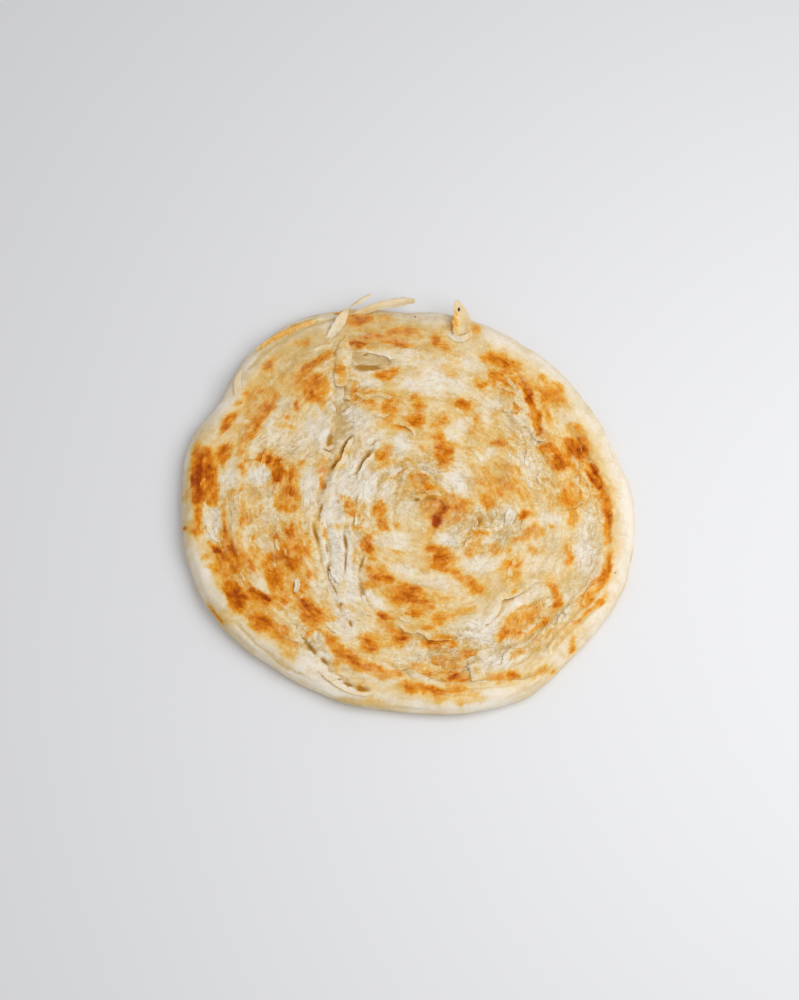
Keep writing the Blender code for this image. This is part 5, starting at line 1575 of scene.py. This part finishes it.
class OBJECT_OT_paratha_bread(bpy.types.Operator):
    """Build the bread itself, in place of its plain solid"""

    bl_idname = "object.paratha_bread"
    bl_label = "Bread"

    def execute(self, context):
        looks = context.scene.dough_looks
        material = dough_material(looks, "fried_dough", looks.subsurface)
        bread = add_piece("bread", bread_mesh(context.scene.bread_shape, material))
        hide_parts(NODE)
        return {"FINISHED"}


class OBJECT_OT_paratha_sheets(bpy.types.Operator):
    """Lay the torn sheets of dough along the creases"""

    bl_idname = "object.paratha_sheets"
    bl_label = "Torn sheets"

    def execute(self, context):
        pile = SheetPile(context.scene.bread_shape)
        for number, sheet in enumerate(TORN_SHEETS.values()):
            pile.torn_sheet(*sheet, 5.0 * number)
        material = sheet_material(context.scene.dough_looks)
        pile.finish("torn_sheets", material, context.scene.flake_settings.thickness)
        return {"FINISHED"}


class OBJECT_OT_paratha_ribbons(bpy.types.Operator):
    """Lay the loose ribbons, the strap and the curled flap"""

    bl_idname = "object.paratha_ribbons"
    bl_label = "Loose ribbons"

    def execute(self, context):
        pile = SheetPile(context.scene.bread_shape)
        for number, ribbon in enumerate(RIBBONS.values()):
            pile.ribbon(*ribbon, 7.0 * number)
        material = sheet_material(context.scene.dough_looks)
        pile.finish("loose_ribbons", material, context.scene.flake_settings.thickness)
        return {"FINISHED"}


class OBJECT_OT_paratha_flakes(bpy.types.Operator):
    """Scatter small flakes, most of them where the top is flaky"""

    bl_idname = "object.paratha_flakes"
    bl_label = "Small flakes"

    def execute(self, context):
        flakes = context.scene.flake_settings
        draw = np.random.default_rng(flakes.seed)
        pile = SheetPile(context.scene.bread_shape)
        made = 0
        while made < flakes.count:
            place = draw.uniform(-FLAKE_FIELD, FLAKE_FIELD, 2)
            keep, turn, size, lift = draw.uniform(0.0, 1.0, 4)
            if keep > self.likelihood(*place):
                continue
            half = flakes.longest / MM * (FLAKE_LENGTHS[0] + FLAKE_LENGTHS[1] * draw.uniform())
            bend = draw.uniform(0.0, FLAKE_BEND)
            edge = self.free_edge(place, half, turn, bend, size > 0.5)
            width = half * (FLAKE_WIDTHS[0] + FLAKE_WIDTHS[1] * size)
            rise = flakes.lift / MM * (0.5 + lift)
            pile.torn_sheet(edge, width, rise, FLAKE_SHOWN, FLAKE_TORN, FLAKE_SEED + made)
            made += 1
        pile.finish("small_flakes", sheet_material(context.scene.dough_looks), flakes.thickness)
        return {"FINISHED"}

    def likelihood(self, x, y):
        """How likely a flake is to lie at the place: never at the rim or on the loose strips."""
        inside = math.hypot(x, y) < edge_radius(np.array([math.atan2(y, x)]))[0] - FLAKE_RIM
        clear = min(out_of_ellipse(x, y, ellipse) for ellipse in CLEAR) > 1.0
        if not (inside and clear):
            return -1.0
        return FLAKES_ANYWHERE + in_ellipses(np.array([x]), np.array([y]), FLAKY, SOFT_EDGES)[0]

    def free_edge(self, place, half, turn, bend, outward):
        """The free edge of a flake at the place, bent, and laid roughly along the coil."""
        angle = math.atan2(place[1] - COIL_MIDDLE[1], place[0] - COIL_MIDDLE[0]) + QUARTER_TURN
        angle += math.radians(FLAKE_TURN * (turn - 0.5)) + (math.pi if outward else 0.0)
        step = np.array([math.cos(angle), math.sin(angle)]) * half
        side = np.array([-step[1], step[0]]) * bend
        return place - step, place - side, place + step


class OBJECT_OT_paratha_specks(bpy.types.Operator):
    """Set the few charred specks on the dough"""

    bl_idname = "object.paratha_specks"
    bl_label = "Charred specks"

    def execute(self, context):
        shape = context.scene.bread_shape
        bm = bmesh.new()
        for x, y, half, raised in SPECKS:
            made = bmesh.ops.create_icosphere(bm, subdivisions=2, radius=half * MM)["verts"]
            ground = plain_height if raised else surface_height
            height = ground(shape, np.array([x]), np.array([y]))[0] + raised
            bmesh.ops.scale(bm, vec=SPECK_SHAPE, verts=made)
            bmesh.ops.translate(bm, vec=Vector((x, y, height)) * MM, verts=made)
        material = charred_material(context.scene.dough_looks)
        add_piece("specks", new_mesh("specks", bm, material, {}))
        return {"FINISHED"}


class OBJECT_OT_paratha_stage(bpy.types.Operator):
    """Set the pale floor, the soft light and the camera"""

    bl_idname = "object.paratha_stage"
    bl_label = "Stage"

    def execute(self, context):
        settings = context.scene.stage_settings
        self.add_floor(settings)
        for name, (place, size, share) in LIGHTS.items():
            self.add_light(name, place, size, share * settings.key_power)
        self.add_sky(settings)
        self.add_camera(settings)
        context.scene.view_settings.view_transform = "Standard"
        return {"FINISHED"}

    def add_floor(self, settings):
        """A floor wide enough to fill every view."""
        bm = bmesh.new()
        bmesh.ops.create_circle(bm, cap_ends=True, segments=64, radius=FLOOR_RADIUS)
        mesh = bpy.data.meshes.new("floor")
        bm.to_mesh(mesh)
        bm.free()
        mesh.materials.append(floor_material(settings))
        floor = bpy.data.objects.new("floor", mesh)
        bpy.context.scene.collection.objects.link(floor)

    def add_light(self, name, place, size, power):
        """A square soft light that looks at the bread."""
        light = bpy.data.lights.new(name, "AREA")
        light.size = size
        light.energy = power
        lamp = bpy.data.objects.new(name, light)
        lamp.location = place
        lamp.rotation_euler = Vector(place).to_track_quat("Z", "Y").to_euler()
        bpy.context.scene.collection.objects.link(lamp)

    def add_sky(self, settings):
        """Even light from all sides."""
        world = bpy.data.worlds.new("surround")
        world.use_nodes = True
        background = world.node_tree.nodes["Background"]
        background.inputs["Color"].default_value = SKY_COLOUR
        background.inputs["Strength"].default_value = settings.sky
        bpy.context.scene.world = world

    def add_camera(self, settings):
        """A camera that looks down at the bread from its near side."""
        data = bpy.data.cameras.new("camera")
        data.lens = settings.lens
        data.sensor_width = SENSOR_WIDTH
        camera = bpy.data.objects.new("camera", data)
        back = Vector((0.0, -math.cos(settings.elevation), math.sin(settings.elevation)))
        camera.location = Vector(LOOKED_AT) * MM + back * settings.distance
        camera.rotation_euler = back.to_track_quat("Z", "Y").to_euler()
        bpy.context.scene.collection.objects.link(camera)
        bpy.context.scene.camera = camera


class VIEW3D_PT_paratha(bpy.types.Panel):
    """Lists the bread's pieces and their settings"""

    bl_label = "Malabar Paratha"
    bl_space_type = "VIEW_3D"
    bl_region_type = "UI"
    bl_category = "Paratha"

    def draw(self, context):
        for operator in OPERATORS:
            self.layout.operator(operator.bl_idname)
        for name in SETTINGS:
            group = getattr(context.scene, name)
            box = self.layout.box()
            for entry in group.bl_rna.properties:
                if entry.identifier not in ("rna_type", "name"):
                    box.prop(group, entry.identifier)


OPERATORS = (
    OBJECT_OT_paratha_bread,
    OBJECT_OT_paratha_sheets,
    OBJECT_OT_paratha_ribbons,
    OBJECT_OT_paratha_flakes,
    OBJECT_OT_paratha_specks,
    OBJECT_OT_paratha_stage,
)
SETTINGS = {
    "bread_shape": BreadShape,
    "flake_settings": FlakeSettings,
    "dough_looks": DoughLooks,
    "stage_settings": StageSettings,
}
CLASSES = (*SETTINGS.values(), *OPERATORS, VIEW3D_PT_paratha)


def register():
    """Adds the settings, the operators and the panel."""
    for cls in CLASSES:
        bpy.utils.register_class(cls)
    for name, group in SETTINGS.items():
        setattr(bpy.types.Scene, name, PointerProperty(type=group))


def unregister():
    """Takes the settings, the operators and the panel away again."""
    for name in SETTINGS:
        delattr(bpy.types.Scene, name)
    for cls in reversed(CLASSES):
        bpy.utils.unregister_class(cls)


def main():
    """Builds every piece and the stage."""
    register()
    bpy.ops.object.paratha_bread()
    bpy.ops.object.paratha_sheets()
    bpy.ops.object.paratha_ribbons()
    bpy.ops.object.paratha_flakes()
    bpy.ops.object.paratha_specks()
    bpy.ops.object.paratha_stage()


if __name__ == "__main__":
    main()
